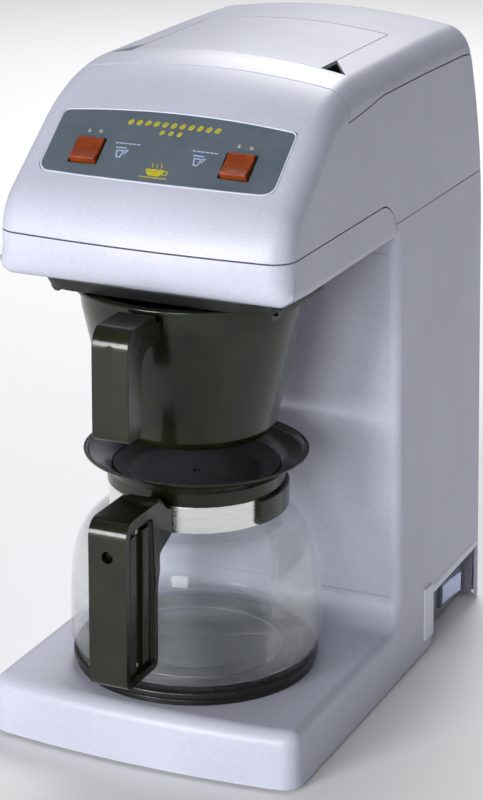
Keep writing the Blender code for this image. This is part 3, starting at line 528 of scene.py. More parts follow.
def extrude(name: str, outline: Sequence[Point2], low: float, high: float,
            axis: str = 'Z') -> bpy.types.Object:
    """Extrude a closed outline along a main axis.

    Args:
        name: the object's name.
        outline: points of (x, y) for axis Z, (y, z) for X and (x, z) for Y.
        low: where it starts on the axis.
        high: where it ends.
        axis: the main axis.

    Returns:
        The closed solid.
    """
    order = {'Z': lambda a, b, c: (a, b, c),
             'X': lambda a, b, c: (c, a, b),
             'Y': lambda a, b, c: (a, c, b)}[axis]
    shape = bmesh.new()
    rings = [[shape.verts.new(order(a, b, level)) for a, b in outline] for level in (low, high)]
    count = len(outline)
    for i in range(count):
        after = (i + 1) % count
        shape.faces.new((rings[0][i], rings[0][after], rings[1][after], rings[1][i]))
    shape.faces.new(rings[0][::-1])
    shape.faces.new(rings[1])
    return from_shape(name, shape)


def loft(name: str, rings: Sequence[Sequence[Sequence[float]]]) -> bpy.types.Object:
    """Skin a solid over rings with equal numbers of places, with both ends closed.

    Args:
        name: name of the new object.
        rings: outlines in order along the solid.

    Returns:
        The solid, with its faces turned outwards.
    """
    shape = bmesh.new()
    rows = [[shape.verts.new(place) for place in ring] for ring in rings]
    for near, far in zip(rows, rows[1:]):
        for k, corner in enumerate(near):
            after = (k + 1) % len(near)
            shape.faces.new((corner, near[after], far[after], far[k]))
    shape.faces.new(rows[0][::-1])
    shape.faces.new(rows[-1])
    bmesh.ops.recalc_face_normals(shape, faces=shape.faces)
    return from_shape(name, shape)


def block(name: str, low: Sequence[float], high: Sequence[float]) -> bpy.types.Object:
    """A plain tool block between two corners."""
    outline = [(low[0], low[1]), (high[0], low[1]), (high[0], high[1]), (low[0], high[1])]
    return extrude(name, outline, low[2], high[2])


def turned(name: str, profile: Sequence[Point2], centre: Point2, steps: int = 112) -> bpy.types.Object:
    """Turn a profile of (radius, height) about a vertical axis.

    Args:
        name: the object's name.
        profile: the section, closed by itself, or by the axis where it starts there.
        centre: x and y of the axis.
        steps: how many steps the turn takes.

    Returns:
        The closed solid, smooth with sharp edges.
    """
    shape = bmesh.new()
    rings = []
    for radius, height in profile:
        if radius < 1e-7:
            rings.append([shape.verts.new((centre[0], centre[1], height))] * steps)
            continue
        rings.append([shape.verts.new((centre[0] + radius * math.cos(2 * math.pi * i / steps),
                                       centre[1] + radius * math.sin(2 * math.pi * i / steps), height))
                      for i in range(steps)])
    pairs = list(zip(rings, rings[1:]))
    if profile[0][0] > 1e-7:
        pairs.append((rings[-1], rings[0]))
    for near, far in pairs:
        for i in range(steps):
            corners = [near[i], near[(i + 1) % steps], far[(i + 1) % steps], far[i]]
            unique = list(dict.fromkeys(corners))
            if len(unique) > 2:
                shape.faces.new(unique)
    return shade(from_shape(name, shape), 40)


def fillet(profile: Iterable[Sequence[float]], count: int = 4) -> list[Point2]:
    """Round the corners of a section that is given in millimetres.

    Args:
        profile: corners of (radius, height, bend).
        count: how many steps each corner takes.

    Returns:
        The rounded section in metres.
    """
    return rounded(in_metres(profile), count)


def wire(name: str, points: Iterable[Sequence[float]], radius: float, closed: bool = False,
         resolution: int = 3) -> bpy.types.Object:
    """A round line along points.

    Args:
        name: the object's name.
        points: the places that it runs through.
        radius: half its thickness.
        closed: whether it ends where it starts.
        resolution: how finely its round section is drawn.

    Returns:
        The line as a plain mesh.
    """
    curve = bpy.data.curves.new(name, 'CURVE')
    curve.dimensions = '3D'
    curve.bevel_depth = radius
    curve.bevel_resolution = resolution
    curve.use_fill_caps = True
    spots = list(points)
    spline = curve.splines.new('POLY')
    spline.points.add(len(spots) - 1)
    for spot, place in zip(spline.points, spots):
        spot.co = (*place, 1)
    spline.use_cyclic_u = closed
    return shade(apply_all(link_object(name, curve)), 50)


def join(name: str, pieces: Sequence[bpy.types.Object]) -> bpy.types.Object:
    """Join plain meshes at the origin into one piece.

    Args:
        name: the piece's name.
        pieces: the meshes, which are used up.

    Returns:
        The joined piece.
    """
    shape = bmesh.new()
    for piece in pieces:
        shape.from_mesh(piece.data)
        bpy.data.objects.remove(piece)
    mesh = bpy.data.meshes.new(name)
    shape.to_mesh(mesh)
    shape.free()
    return link_object(name, mesh)


def hand_in(piece: bpy.types.Object, finish: Finish, body: Body, *nodes: str) -> bpy.types.Object:
    """Give a finished piece its material, its body and the CAD nodes that it stands for.

    Args:
        piece: the finished piece at the origin.
        finish: its surface.
        body: the body that it rides on.
        nodes: the CAD nodes that it replaces.

    Returns:
        The piece.
    """
    piece.data.materials.clear()
    piece.data.materials.append(finish.build())
    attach(piece, body.value)
    if nodes:
        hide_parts(*nodes)
    LOG.info("%s: %d faces on %s", piece.name, len(piece.data.polygons), body.value)
    return piece


# ---------------------------------------------------------------- repeated pieces
@dataclass
class Repeater:
    """Geometry Nodes that set one small pattern on many points and colour it."""

    name: str
    finish: Finish

    def tree(self) -> bpy.types.NodeTree:
        """Build the tree: points, instances of the pattern, realised and given the material."""
        tree = bpy.data.node_groups.new(self.name, 'GeometryNodeTree')
        tree.interface.new_socket("Geometry", in_out='INPUT', socket_type='NodeSocketGeometry')
        tree.interface.new_socket("Pattern", in_out='INPUT', socket_type='NodeSocketObject')
        size = tree.interface.new_socket("Size", in_out='INPUT', socket_type='NodeSocketFloat')
        size.default_value = 1.0
        tree.interface.new_socket("Geometry", in_out='OUTPUT', socket_type='NodeSocketGeometry')
        entry = add_node(tree, "NodeGroupInput")
        pattern = add_node(tree, "GeometryNodeObjectInfo", {"transform_space": 'ORIGINAL'},
                           {"Object": entry.outputs["Pattern"]})
        turn = add_node(tree, "GeometryNodeInputNamedAttribute",
                        {"data_type": 'FLOAT_VECTOR', "Name": "turn"})
        turned_by = add_node(tree, "FunctionNodeEulerToRotation", None,
                             {"Euler": turn.outputs["Attribute"]})
        placed = add_node(tree, "GeometryNodeInstanceOnPoints", None,
                          {"Points": entry.outputs["Geometry"],
                           "Instance": pattern.outputs["Geometry"],
                           "Rotation": turned_by.outputs["Rotation"],
                           "Scale": entry.outputs["Size"]})
        real = add_node(tree, "GeometryNodeRealizeInstances", None,
                        {"Geometry": placed.outputs["Instances"]})
        coloured = add_node(tree, "GeometryNodeSetMaterial", {"Material": self.finish.build()},
                            {"Geometry": real.outputs["Geometry"]})
        add_node(tree, "NodeGroupOutput", None, {"Geometry": coloured.outputs["Geometry"]})
        return tree

    def build(self, pattern: bpy.types.Object, places: Sequence[Sequence[float]],
              size: float = 1.0, turns: Sequence[Sequence[float]] | None = None) -> bpy.types.Object:
        """Set the pattern on the places.

        Args:
            pattern: the small mesh about the origin, which is used up.
            places: where it goes.
            size: the scale of the pattern.
            turns: the turn at each place about the three axes, or nothing to leave it upright.

        Returns:
            One plain mesh with every copy.
        """
        points = bpy.data.meshes.new(self.name)
        points.from_pydata([tuple(place) for place in places], [], [])
        angles = points.attributes.new("turn", 'FLOAT_VECTOR', 'POINT')
        for spot, angle in zip(angles.data, turns or [(0.0, 0.0, 0.0)] * len(places)):
            spot.vector = angle
        holder = link_object(self.name, points)
        modifier = holder.modifiers.new("copies", 'NODES')
        tree = self.tree()
        modifier.node_group = tree
        sockets = {item.name: item.identifier for item in tree.interface.items_tree
                   if item.in_out == 'INPUT'}
        modifier[sockets["Pattern"]] = pattern
        modifier[sockets["Size"]] = size
        done = apply_all(holder)
        bpy.data.objects.remove(pattern)
        return shade(done, 35)


@dataclass
class Lathe:
    """Geometry Nodes that turn a section round an upright axis and colour it."""

    name: str
    finish: Finish
    centre: Point2
    steps: int = 112

    def tree(self) -> bpy.types.NodeTree:
        """Build the tree: the section swept round a circle, placed and given the material."""
        tree = bpy.data.node_groups.new(self.name, 'GeometryNodeTree')
        for label, kind in (("Geometry", 'NodeSocketGeometry'), ("Steps", 'NodeSocketInt'),
                            ("Reach", 'NodeSocketFloat'), ("Axis", 'NodeSocketVector')):
            tree.interface.new_socket(label, in_out='INPUT', socket_type=kind)
        tree.interface.new_socket("Geometry", in_out='OUTPUT', socket_type='NodeSocketGeometry')
        entry = add_node(tree, "NodeGroupInput")
        section = add_node(tree, "GeometryNodeMeshToCurve", None, {"Mesh": entry.outputs["Geometry"]})
        circle = add_node(tree, "GeometryNodeCurvePrimitiveCircle", {"mode": 'RADIUS'},
                          {"Resolution": entry.outputs["Steps"], "Radius": entry.outputs["Reach"]})
        swept = add_node(tree, "GeometryNodeCurveToMesh", None,
                         {"Curve": circle.outputs["Curve"], "Profile Curve": section.outputs["Curve"]})
        placed = add_node(tree, "GeometryNodeSetPosition", None,
                          {"Geometry": swept.outputs["Mesh"], "Offset": entry.outputs["Axis"]})
        real = add_node(tree, "GeometryNodeRealizeInstances", None,
                        {"Geometry": placed.outputs["Geometry"]})
        coloured = add_node(tree, "GeometryNodeSetMaterial", {"Material": self.finish.build()},
                            {"Geometry": real.outputs["Geometry"]})
        add_node(tree, "NodeGroupOutput", None, {"Geometry": coloured.outputs["Geometry"]})
        return tree

    def build(self, profile: Sequence[Point2]) -> bpy.types.Object:
        """Turn a section.

        Args:
            profile: its points of (radius, height), closed by itself or by the axis.

        Returns:
            The closed solid as a plain mesh, smooth with sharp edges.
        """
        reach = max(radius for radius, _ in profile)
        count = len(profile)
        links = [(i, i + 1) for i in range(count - 1)]
        if profile[0][0] > 1e-7:
            links.append((count - 1, 0))
        mesh = bpy.data.meshes.new(self.name)
        mesh.from_pydata([(radius - reach, -height, 0.0) for radius, height in profile], links, [])
        holder = link_object(self.name, mesh)
        modifier = holder.modifiers.new("turned", 'NODES')
        tree = self.tree()
        modifier.node_group = tree
        values = {"Steps": self.steps, "Reach": reach, "Axis": (*self.centre, 0.0)}
        for item in tree.interface.items_tree:
            if item.in_out == 'INPUT' and item.name in values:
                modifier[item.identifier] = values[item.name]
        swept = apply_all(holder)
        shape = bmesh.new()
        shape.from_mesh(swept.data)
        bpy.data.objects.remove(swept)
        return shade(from_shape(self.name, shape), 40)


# ---------------------------------------------------------------- housing
@dataclass(frozen=True)
class Spot:
    """A point of the side outline: place, rim radius and how far it sags at the sides."""

    y: float
    z: float
    rim: float
    sag_y: float = 0.0
    sag_z: float = 0.0


@dataclass
class Housing:
    """The drafted and crowned shells, as fine slices of one lofted form."""

    half_width: float = 110 * MM
    draft: float = 14.3 / 450
    rear: float = 204.5 * MM
    front: float = -168 * MM
    head_front: float = -166 * MM
    column_front: float = 28 * MM
    base_top: float = 41 * MM
    underside: float = 318 * MM
    crown: float = 446.5 * MM
    wall: float = 2.5 * MM
    seam: float = 1.0 * MM
    skirt: float = 2.1 * MM
    slope: float = math.radians(39.5)
    panel_size: tuple[float, float] = (160 * MM, 50 * MM)
    panel_centre: tuple[float, float, float] = (0.0, -121.5 * MM, 399.6 * MM)
    switch_x: float = 51 * MM
    switch_y: float = -7 * MM
    lid_x: float = 66 * MM
    lid_front: float = -32.5 * MM
    lid_rear: float = 84.6 * MM
    pivot: Point2 = (64 * MM, 433.5 * MM)
    brew_y: float = -79 * MM
    carafe_y: float = -74 * MM
    pocket: tuple[float, float, float] = (92 * MM, 192 * MM, 42 * MM)
    fine: int = 3
    columns: int = 12
    rim_steps: int = 9
    forms: dict[str, bpy.types.Object] = field(default_factory=dict)

    def stretch(self, points: Sequence[Point2], first: tuple[float, float, float],
                last: tuple[float, float, float]) -> list[Spot]:
        """Give points their rim radius and sags.

        Args:
            points: places of the side outline.
            first: the rim, the sag along Y and the sag along Z at the first point.
            last: the same at the last one.

        Returns:
            The points with values that run evenly from the first to the last.
        """
        spots = []
        for i, (y, z) in enumerate(points):
            t = i / max(len(points) - 1, 1)
            spots.append(Spot(y, z, *(a + (b - a) * t for a, b in zip(first, last))))
        return spots

    def outline(self) -> list[Spot]:
        """The side outline at the middle, from the base's front round to its rear."""
        n = self.fine
        below, edge, cove, turn, lip, nose, brow = (v * MM for v in (-20, 10, 20, 4, 22, 55, 122))
        slope = math.degrees(self.slope)
        front_sag, crown_sag = 5 * MM, 9 * MM
        nose_points = arc((self.head_front + nose, 338 * MM), nose, 180, 90 + slope, 6 * n)
        start = nose_points[-1]
        top_y = -101.2 * MM
        panel_top = (top_y, start[1] + (top_y - start[0]) * math.tan(self.slope))
        brow_centre = (panel_top[0] + brow * math.sin(self.slope),
                       panel_top[1] - brow * math.cos(self.slope))
        lip_angle = math.degrees(math.asin((338 * MM - self.underside) / lip))
        bend = 300 * MM
        levels = [bend + step * 22 * MM for step in range(6)]
        rear = [(self.rear - 1.7 * (z - bend) ** 2, z) for z in levels]
        face, flat, top = (14 * MM, front_sag, 0.0), (7 * MM, 0.0, 0.0), (14 * MM, 0.0, crown_sag)
        shoulder = (edge, front_sag, 0.0)
        spots = self.stretch([(self.front, below), (self.front, 0.0),
                              (self.front, self.base_top - edge)], face, shoulder)
        spots += self.stretch(arc((self.front + edge, self.base_top - edge), edge, 165, 90, 2 * n),
                              shoulder, (7 * MM, front_sag, 0.0))
        spots += self.stretch(arc((self.column_front - cove, self.base_top + cove), cove,
                                  270, 360, 4 * n), flat, flat)
        spots += self.stretch(arc((self.column_front - turn, self.underside - turn), turn, 0, 90, n),
                              flat, flat)
        spots += self.stretch([(-120 * MM, self.underside)], flat, flat)
        spots += self.stretch(arc((self.head_front + lip, 338 * MM), lip, 180 + lip_angle, 190, 2 * n),
                              (10 * MM, 0.0, 0.0), face)
        spots += self.stretch(nose_points, face, (14 * MM, 0.0, 4 * MM))
        spots += self.stretch(arc(brow_centre, brow, 90 + slope, 91, 5 * n),
                              (14 * MM, 0.0, 5 * MM), top)
        spots += self.stretch([(35 * MM, 446 * MM), (85 * MM, self.crown), (130 * MM, 446.3 * MM)],
                              top, top)
        controls = [(152 * MM, 445.6 * MM), (170 * MM, 445 * MM), (179 * MM, 428 * MM), rear[-1]]
        count = 4 * n
        corner = []
        for i in range(count + 1):
            t = i / count
            weights = ((1 - t) ** 3, 3 * t * (1 - t) ** 2, 3 * t * t * (1 - t), t ** 3)
            corner.append(tuple(sum(w * c[k] for w, c in zip(weights, controls)) for k in (0, 1)))
        spots += self.stretch(corner, top, (14 * MM, 0.0, 0.0))
        back = rear[-2::-1] + [(self.rear, 0.0), (self.rear, below)]
        return spots + self.stretch(back, (14 * MM, 0.0, 0.0), (12 * MM, 0.0, 0.0))

    def form(self, inset: float) -> bpy.types.Object:
        """The lofted form as a solid, which is kept for further use.

        Args:
            inset: how far it is drawn in from the outer face.

        Returns:
            The solid.
        """
        key = "form_%.2f" % (inset / MM)
        if key in self.forms:
            return self.forms[key]
        outline = self.outline()
        count = len(outline)
        normals = []
        for i in range(count):
            before, after = outline[i - 1], outline[(i + 1) % count]
            along = Vector((after.y - before.y, after.z - before.z)).normalized()
            normals.append(Vector((along.y, -along.x)))
        steps = [(i / self.columns, 0.0) for i in range(self.columns)]
        steps += [(1.0, math.pi / 2 * i / self.rim_steps) for i in range(self.rim_steps + 1)]
        stations = [(-1, *step) for step in steps[:0:-1]] + [(1, *step) for step in steps]
        shape = bmesh.new()
        rings = []
        for sign, reach, turn in stations:
            ring = []
            for spot, normal in zip(outline, normals):
                rim = max(spot.rim - inset, 1.5 * MM)
                depth = inset + rim * (1 - math.cos(turn))
                z = spot.z + normal.y * depth
                x = (self.half_width - self.draft * z - inset - rim) * reach + rim * math.sin(turn)
                sag = (x / (86 * MM)) ** 2
                ring.append(shape.verts.new((sign * x, spot.y + normal.x * depth + spot.sag_y * sag,
                                             z - spot.sag_z * sag)))
            rings.append(ring)
        for near, far in zip(rings, rings[1:]):
            for i in range(count):
                shape.faces.new((near[i], near[(i + 1) % count], far[(i + 1) % count], far[i]))
        shape.faces.new(rings[0][::-1])
        shape.faces.new(rings[-1])
        self.forms[key] = from_shape(key, shape)
        return self.forms[key]

    def shell(self, region: bpy.types.Object) -> bpy.types.Object:
        """A slice of the housing's wall.

        Args:
            region: the solid that bounds the slice, which is used up.

        Returns:
            The slice, with the region's name.
        """
        outer = combine(region, self.form(0.0), Operation.KEEP, keep_tool=True)
        return combine(outer, self.form(self.wall), Operation.CUT, keep_tool=True)

    def top_region(self, shift: float) -> list[Point2]:
        """Outline of the region above the top cover's seam.

        Args:
            shift: how far it is moved up and back.

        Returns:
            Its points in the side view.
        """
        line = [(-59.5, 413), (-35, 415), (0, 419), (74, 419), (154, 417.7), (182, 414.7), (230, 411)]
        points = [(y * MM + (shift if i == 0 else 0), z * MM + shift) for i, (y, z) in enumerate(line)]
        return points + [(230 * MM, 500 * MM), (points[0][0], 500 * MM)]

    def undercover_region(self, grow: float) -> list[Point2]:
        """Outline of the head's lower cover with its round rear end.

        Args:
            grow: how far it is widened.

        Returns:
            Its points in the side view.
        """
        top = 346.5 * MM + grow
        end = arc((24 * MM - 28 * MM, self.underside), 28 * MM + grow, 90, 0, 24)
        return [(-250 * MM, 280 * MM), (-250 * MM, top)] + end + [(24 * MM + grow, 280 * MM)]

    def panel_space(self, name: str, grow: float, depth: float = 30 * MM) -> bpy.types.Object:
        """A prism square to the control panel with its barrel outline.

        Args:
            name: the object's name.
            grow: how far the outline is widened.
            depth: how far the prism reaches either way.

        Returns:
            The prism.
        """
        points = self.panel_outline(grow)
        made = extrude(name, points, -depth, depth)
        made.data.transform(self.panel_matrix())
        return made

    def panel_outline(self, grow: float) -> list[Point2]:
        """The control panel's barrel outline, with its tighter corners on top.

        Args:
            grow: how far the outline is widened.

        Returns:
            Its points in the panel's own plane.
        """
        half_x, half_y = self.panel_size[0] / 2 + grow, self.panel_size[1] / 2 + grow
        belly = 3 * MM
        points: list[Point2] = []
        for sx, sy, start in ((1, -1, 270), (1, 1, 0), (-1, 1, 90), (-1, -1, 180)):
            corner = (4 if sy > 0 else 8) * MM
            centre = (sx * (half_x - corner), sy * (half_y - corner))
            points += arc(centre, corner, start, start + 90, 10)
            reach = half_x - corner
            if start in (0, 180):
                for i in range(1, 16):
                    points.append((sx * reach * (1 - i / 8), sy * half_y))
        return [(x, y + math.copysign(belly * (1 - (x / half_x) ** 2), y)) for x, y in points]

    def panel_matrix(self) -> Matrix:
        """From the control panel's own plane to the frame."""
        return Matrix.Translation(self.panel_centre) @ Matrix.Rotation(self.slope, 4, 'X')

    def panel_block(self, name: str, at: Point2, size: float, depth: float = 20 * MM,
                    corner: float = 1 * MM) -> bpy.types.Object:
        """A square tool through the panel's face.

        Args:
            name: the object's name.
            at: its centre in the panel's plane.
            size: its width.
            depth: how far it reaches either way.
            corner: the radius of its corners.

        Returns:
            The tool.
        """
        half = size / 2
        square = [(at[0] - half, at[1] - half, corner), (at[0] + half, at[1] - half, corner),
                  (at[0] + half, at[1] + half, corner), (at[0] - half, at[1] + half, corner)]
        made = extrude(name, rounded(square, 4), -depth, depth)
        made.data.transform(self.panel_matrix())
        return made

    def front_panel_block(self, name: str, grow: float) -> bpy.types.Object:
        """The column's front panel as a tapered block, whose side joints are closed tight.

        Args:
            name: the object's name.
            grow: how far it is widened for a gap.

        Returns:
            The block.
        """
        low, high = 61.8 * MM - grow, 306 * MM + grow
        widths = [self.half_width - self.draft * z - 8 * MM + grow * 0.1 for z in (low, high)]
        outline = [(-widths[0], low), (widths[0], low), (widths[1], high), (-widths[1], high)]
        return extrude(name, outline, 20 * MM, self.column_front + 10 * MM, 'Y')

    def main_body(self) -> None:
        """Base and column in one moulding."""
        y_from, y_to, top = self.pocket
        region = block("main_body_shell", (-150 * MM, -200 * MM, self.skirt),
                       (150 * MM, 260 * MM, 328.7 * MM))
        region = combine(region, block("tool", (90 * MM, y_from, -20 * MM), (160 * MM, y_to, top)))
        body = self.shell(region)
        hole = turned("tool", in_metres([(0, 60), (62, 60), (62, 20), (0, 20)]),
                      (0, self.carafe_y), 96)
        rear = block("tool", (-78 * MM, self.rear - 8 * MM, 16 * MM),
                     (78 * MM, self.rear + 9 * MM, 296 * MM))
        under = extrude("tool", self.undercover_region(self.seam / 2), -150 * MM, 150 * MM, 'X')
        for tool in (under, self.front_panel_block("tool", 0.3 * MM), rear, hole):
            body = combine(body, tool, careful=True)
        hand_in(shade(body), HOUSING_ABS, Body.MACHINE, "main_body")

    def switch_guard(self) -> None:
        """The raised edge in front of the main switch and over it, painted paler as a painted
        highlight.
        """
        y_from, y_to, top = self.pocket
        front, roof = [], []
        for z in (11 * MM, 50 * MM):
            side = self.half_width - self.draft * z
            front.append([(side - 1 * MM, y_from - 17 * MM, z),
                          (side + 1.2 * MM, y_from - 15 * MM, z),
                          (side + 1.9 * MM, y_from - 0.5 * MM, z),
                          (side - 1 * MM, y_from - 0.5 * MM, z)])
        for y, proud in ((y_from - 0.5 * MM, 1.9 * MM), (y_to - 2 * MM, 0.5 * MM)):
            side = self.half_width - self.draft * top
            roof.append([(side - 1 * MM, y, top + 0.2 * MM), (side + proud, y, top + 0.2 * MM),
                         (side + proud * 0.8, y, top + 5 * MM), (side - 1 * MM, y, top + 8 * MM)])
        guard = join("switch_guard", [loft("guard_front", front), loft("guard_roof", roof)])
        # Its paler finish is a painted highlight of the light that the edge catches.
        hand_in(soften(guard, 0.4 * MM, 2, 30), ABS_PAINTED_HIGHLIGHT, Body.MACHINE)

    def build(self) -> None:
        """Build every shell of the housing."""
        self.main_body()
        self.switch_guard()
        front = self.shell(self.front_panel_block("column_front_shell", 0.0))
        hand_in(shade(front), HOUSING_ABS, Body.MACHINE, "column_front_panel")
        self.head()
        self.cover_and_lid()
        region = extrude("head_undercover_shell", self.undercover_region(-self.seam / 2),
                         -150 * MM, 150 * MM, 'X')
        cover = self.shell(region)
        hole = turned("tool", in_metres([(0, 340), (42, 340), (42, 300), (0, 300)]),
                      (0, self.brew_y), 64)
        hand_in(shade(combine(cover, hole)), HOUSING_ABS, Body.MACHINE, "head_undercover")

    def head(self) -> None:
        """The head's moulding with the seat of the control panel."""
        region = block("head_housing_shell", (-150 * MM, -250 * MM, 329.3 * MM),
                       (150 * MM, 260 * MM, 480 * MM))
        head = self.shell(region)
        for outline in (self.top_region(-self.seam / 2), self.undercover_region(self.seam / 2)):
            head = combine(head, extrude("tool", outline, -160 * MM, 160 * MM, 'X'))
        seat = self.panel_space("tool", 0.3 * MM)
        seat = combine(seat, self.form(1.6 * MM), Operation.CUT, keep_tool=True)
        head = combine(head, seat)
        for x in (-self.switch_x, self.switch_x):
            head = combine(head, self.panel_block("tool", (x, self.switch_y), 21.4 * MM))
        hand_in(shade(head), HOUSING_ABS, Body.MACHINE, "head_housing")

    def cover_and_lid(self) -> None:
        """The crowned cover with its finger notches, and the filling lid in it."""
        region = extrude("top_cover_shell", self.top_region(self.seam / 2), -150 * MM, 150 * MM, 'X')
        cover = self.shell(region)
        gap = 0.6 * MM
        cover = combine(cover, block("tool", (-self.lid_x - gap, self.lid_front - gap, 400 * MM),
                                     (self.lid_x + gap, self.lid_rear + 1.7 * MM, 480 * MM)))
        for side in (-1, 1):
            inner, outer = side * (self.lid_x - 1 * MM), side * (self.lid_x + 17 * MM)
            front = self.lid_front - gap
            corners = [(inner, front), (outer, front), (inner, self.lid_front + 28 * MM)]
            cover = combine(cover, extrude("tool", corners, 410 * MM, 470 * MM))
        hand_in(shade(cover), HOUSING_ABS, Body.MACHINE, "top_cover")
        lid = self.shell(block("tank_lid_shell", (-self.lid_x, self.lid_front, 420 * MM),
                               (self.lid_x, self.lid_rear, 480 * MM)))
        pivot_y, pivot_z = self.pivot
        for side in (-1, 1):
            x = side * 59 * MM
            rib = block("tool", (x - 1.5 * MM, 50 * MM, pivot_z - 4 * MM),
                        (x + 1.5 * MM, 78 * MM, 440.8 * MM))
            lid = combine(lid, rib, Operation.JOIN)
            hole = extrude("tool", arc((pivot_y, pivot_z), 2.3 * MM, 0, 345, 23),
                           x - 6 * MM, x + 6 * MM, 'X')
            lid = combine(lid, hole)
        hand_in(shade(lid), HOUSING_ABS, Body.TANK_LID, "tank_lid")

    def clear(self) -> None:
        """Remove the kept forms."""
        for form in self.forms.values():
            bpy.data.objects.remove(form)
        self.forms.clear()


@dataclass
class RearCover:
    """The flat rear cover with its vents, its opening for the inlet and its four screws."""

    x: float = 70 * MM
    face: float = 204.5 * MM
    levels: tuple[float, float] = (24 * MM, 288 * MM)

    def screw(self) -> bpy.types.Object:
        """A pan head with a cross recess, about its own face."""
        section = [(0, 0.4), (1.6, 0.3), (2.6, -0.3), (3.2, -1.3), (3.2, -6), (0, -6)]
        head = turned("screw_head", in_metres(section), (0, 0), 28)
        for turn in (0, 90):
            slot = block("tool", (-1.9 * MM, -0.35 * MM, -0.9 * MM), (1.9 * MM, 0.35 * MM, 2 * MM))
            slot.data.transform(Matrix.Rotation(math.radians(turn + 20), 4, 'Z'))
            head = combine(head, slot)
        head.data.transform(Matrix.Rotation(math.radians(-90), 4, 'X'))
        return head

    def build(self) -> None:
        """Set the four screws, and cut the cover with its vents, screw holes and inlet opening."""
        places = [(side * self.x, self.face - 0.9 * MM, z) for side in (-1, 1) for z in self.levels]
        screws = Repeater("rear_cover_screws", STEEL_PLAIN).build(self.screw(), places)
        hand_in(screws, STEEL_PLAIN, Body.MACHINE, "rear_screw_lower_left", "rear_screw_lower_right",
                "rear_screw_upper_left", "rear_screw_upper_right")
        half, low, high, gap = 78 * MM, 16 * MM, 296 * MM, 0.3 * MM
        edge = [(-half + gap, low + gap, 3 * MM), (half - gap, low + gap, 3 * MM),
                (half - gap, high - gap, 3 * MM), (-half + gap, high - gap, 3 * MM)]
        cover = extrude("rear_cover", rounded(edge, 6), self.face - 2.5 * MM, self.face, 'Y')
        slot = rounded(in_metres([(-40, -2, 1.9), (40, -2, 1.9), (40, 2, 1.9), (-40, 2, 1.9)]), 4)
        vent = extrude("vent", slot, -9 * MM, 9 * MM, 'Y')
        rows = [(0.0, self.face, (232 + 9 * row) * MM) for row in range(6)]
        bore = extrude("bore", arc((0, 0), 3.6 * MM, 0, 350, 35), -9 * MM, 9 * MM, 'Y')
        corners = [(side * self.x, self.face, z) for side in (-1, 1) for z in self.levels]
        opening = extrude("tool", in_metres([(25.8, 29.8), (54.2, 29.8), (54.2, 50.2), (25.8, 50.2)]),
                          self.face - 9 * MM, self.face + 9 * MM, 'Y')
        for tool in (Repeater("rear_vents", HOUSING_ABS).build(vent, rows),
                     Repeater("rear_bores", HOUSING_ABS).build(bore, corners), opening):
            cover = combine(cover, tool)
        hand_in(soften(cover, 0.4 * MM, 2), HOUSING_ABS, Body.MACHINE, "rear_panel")


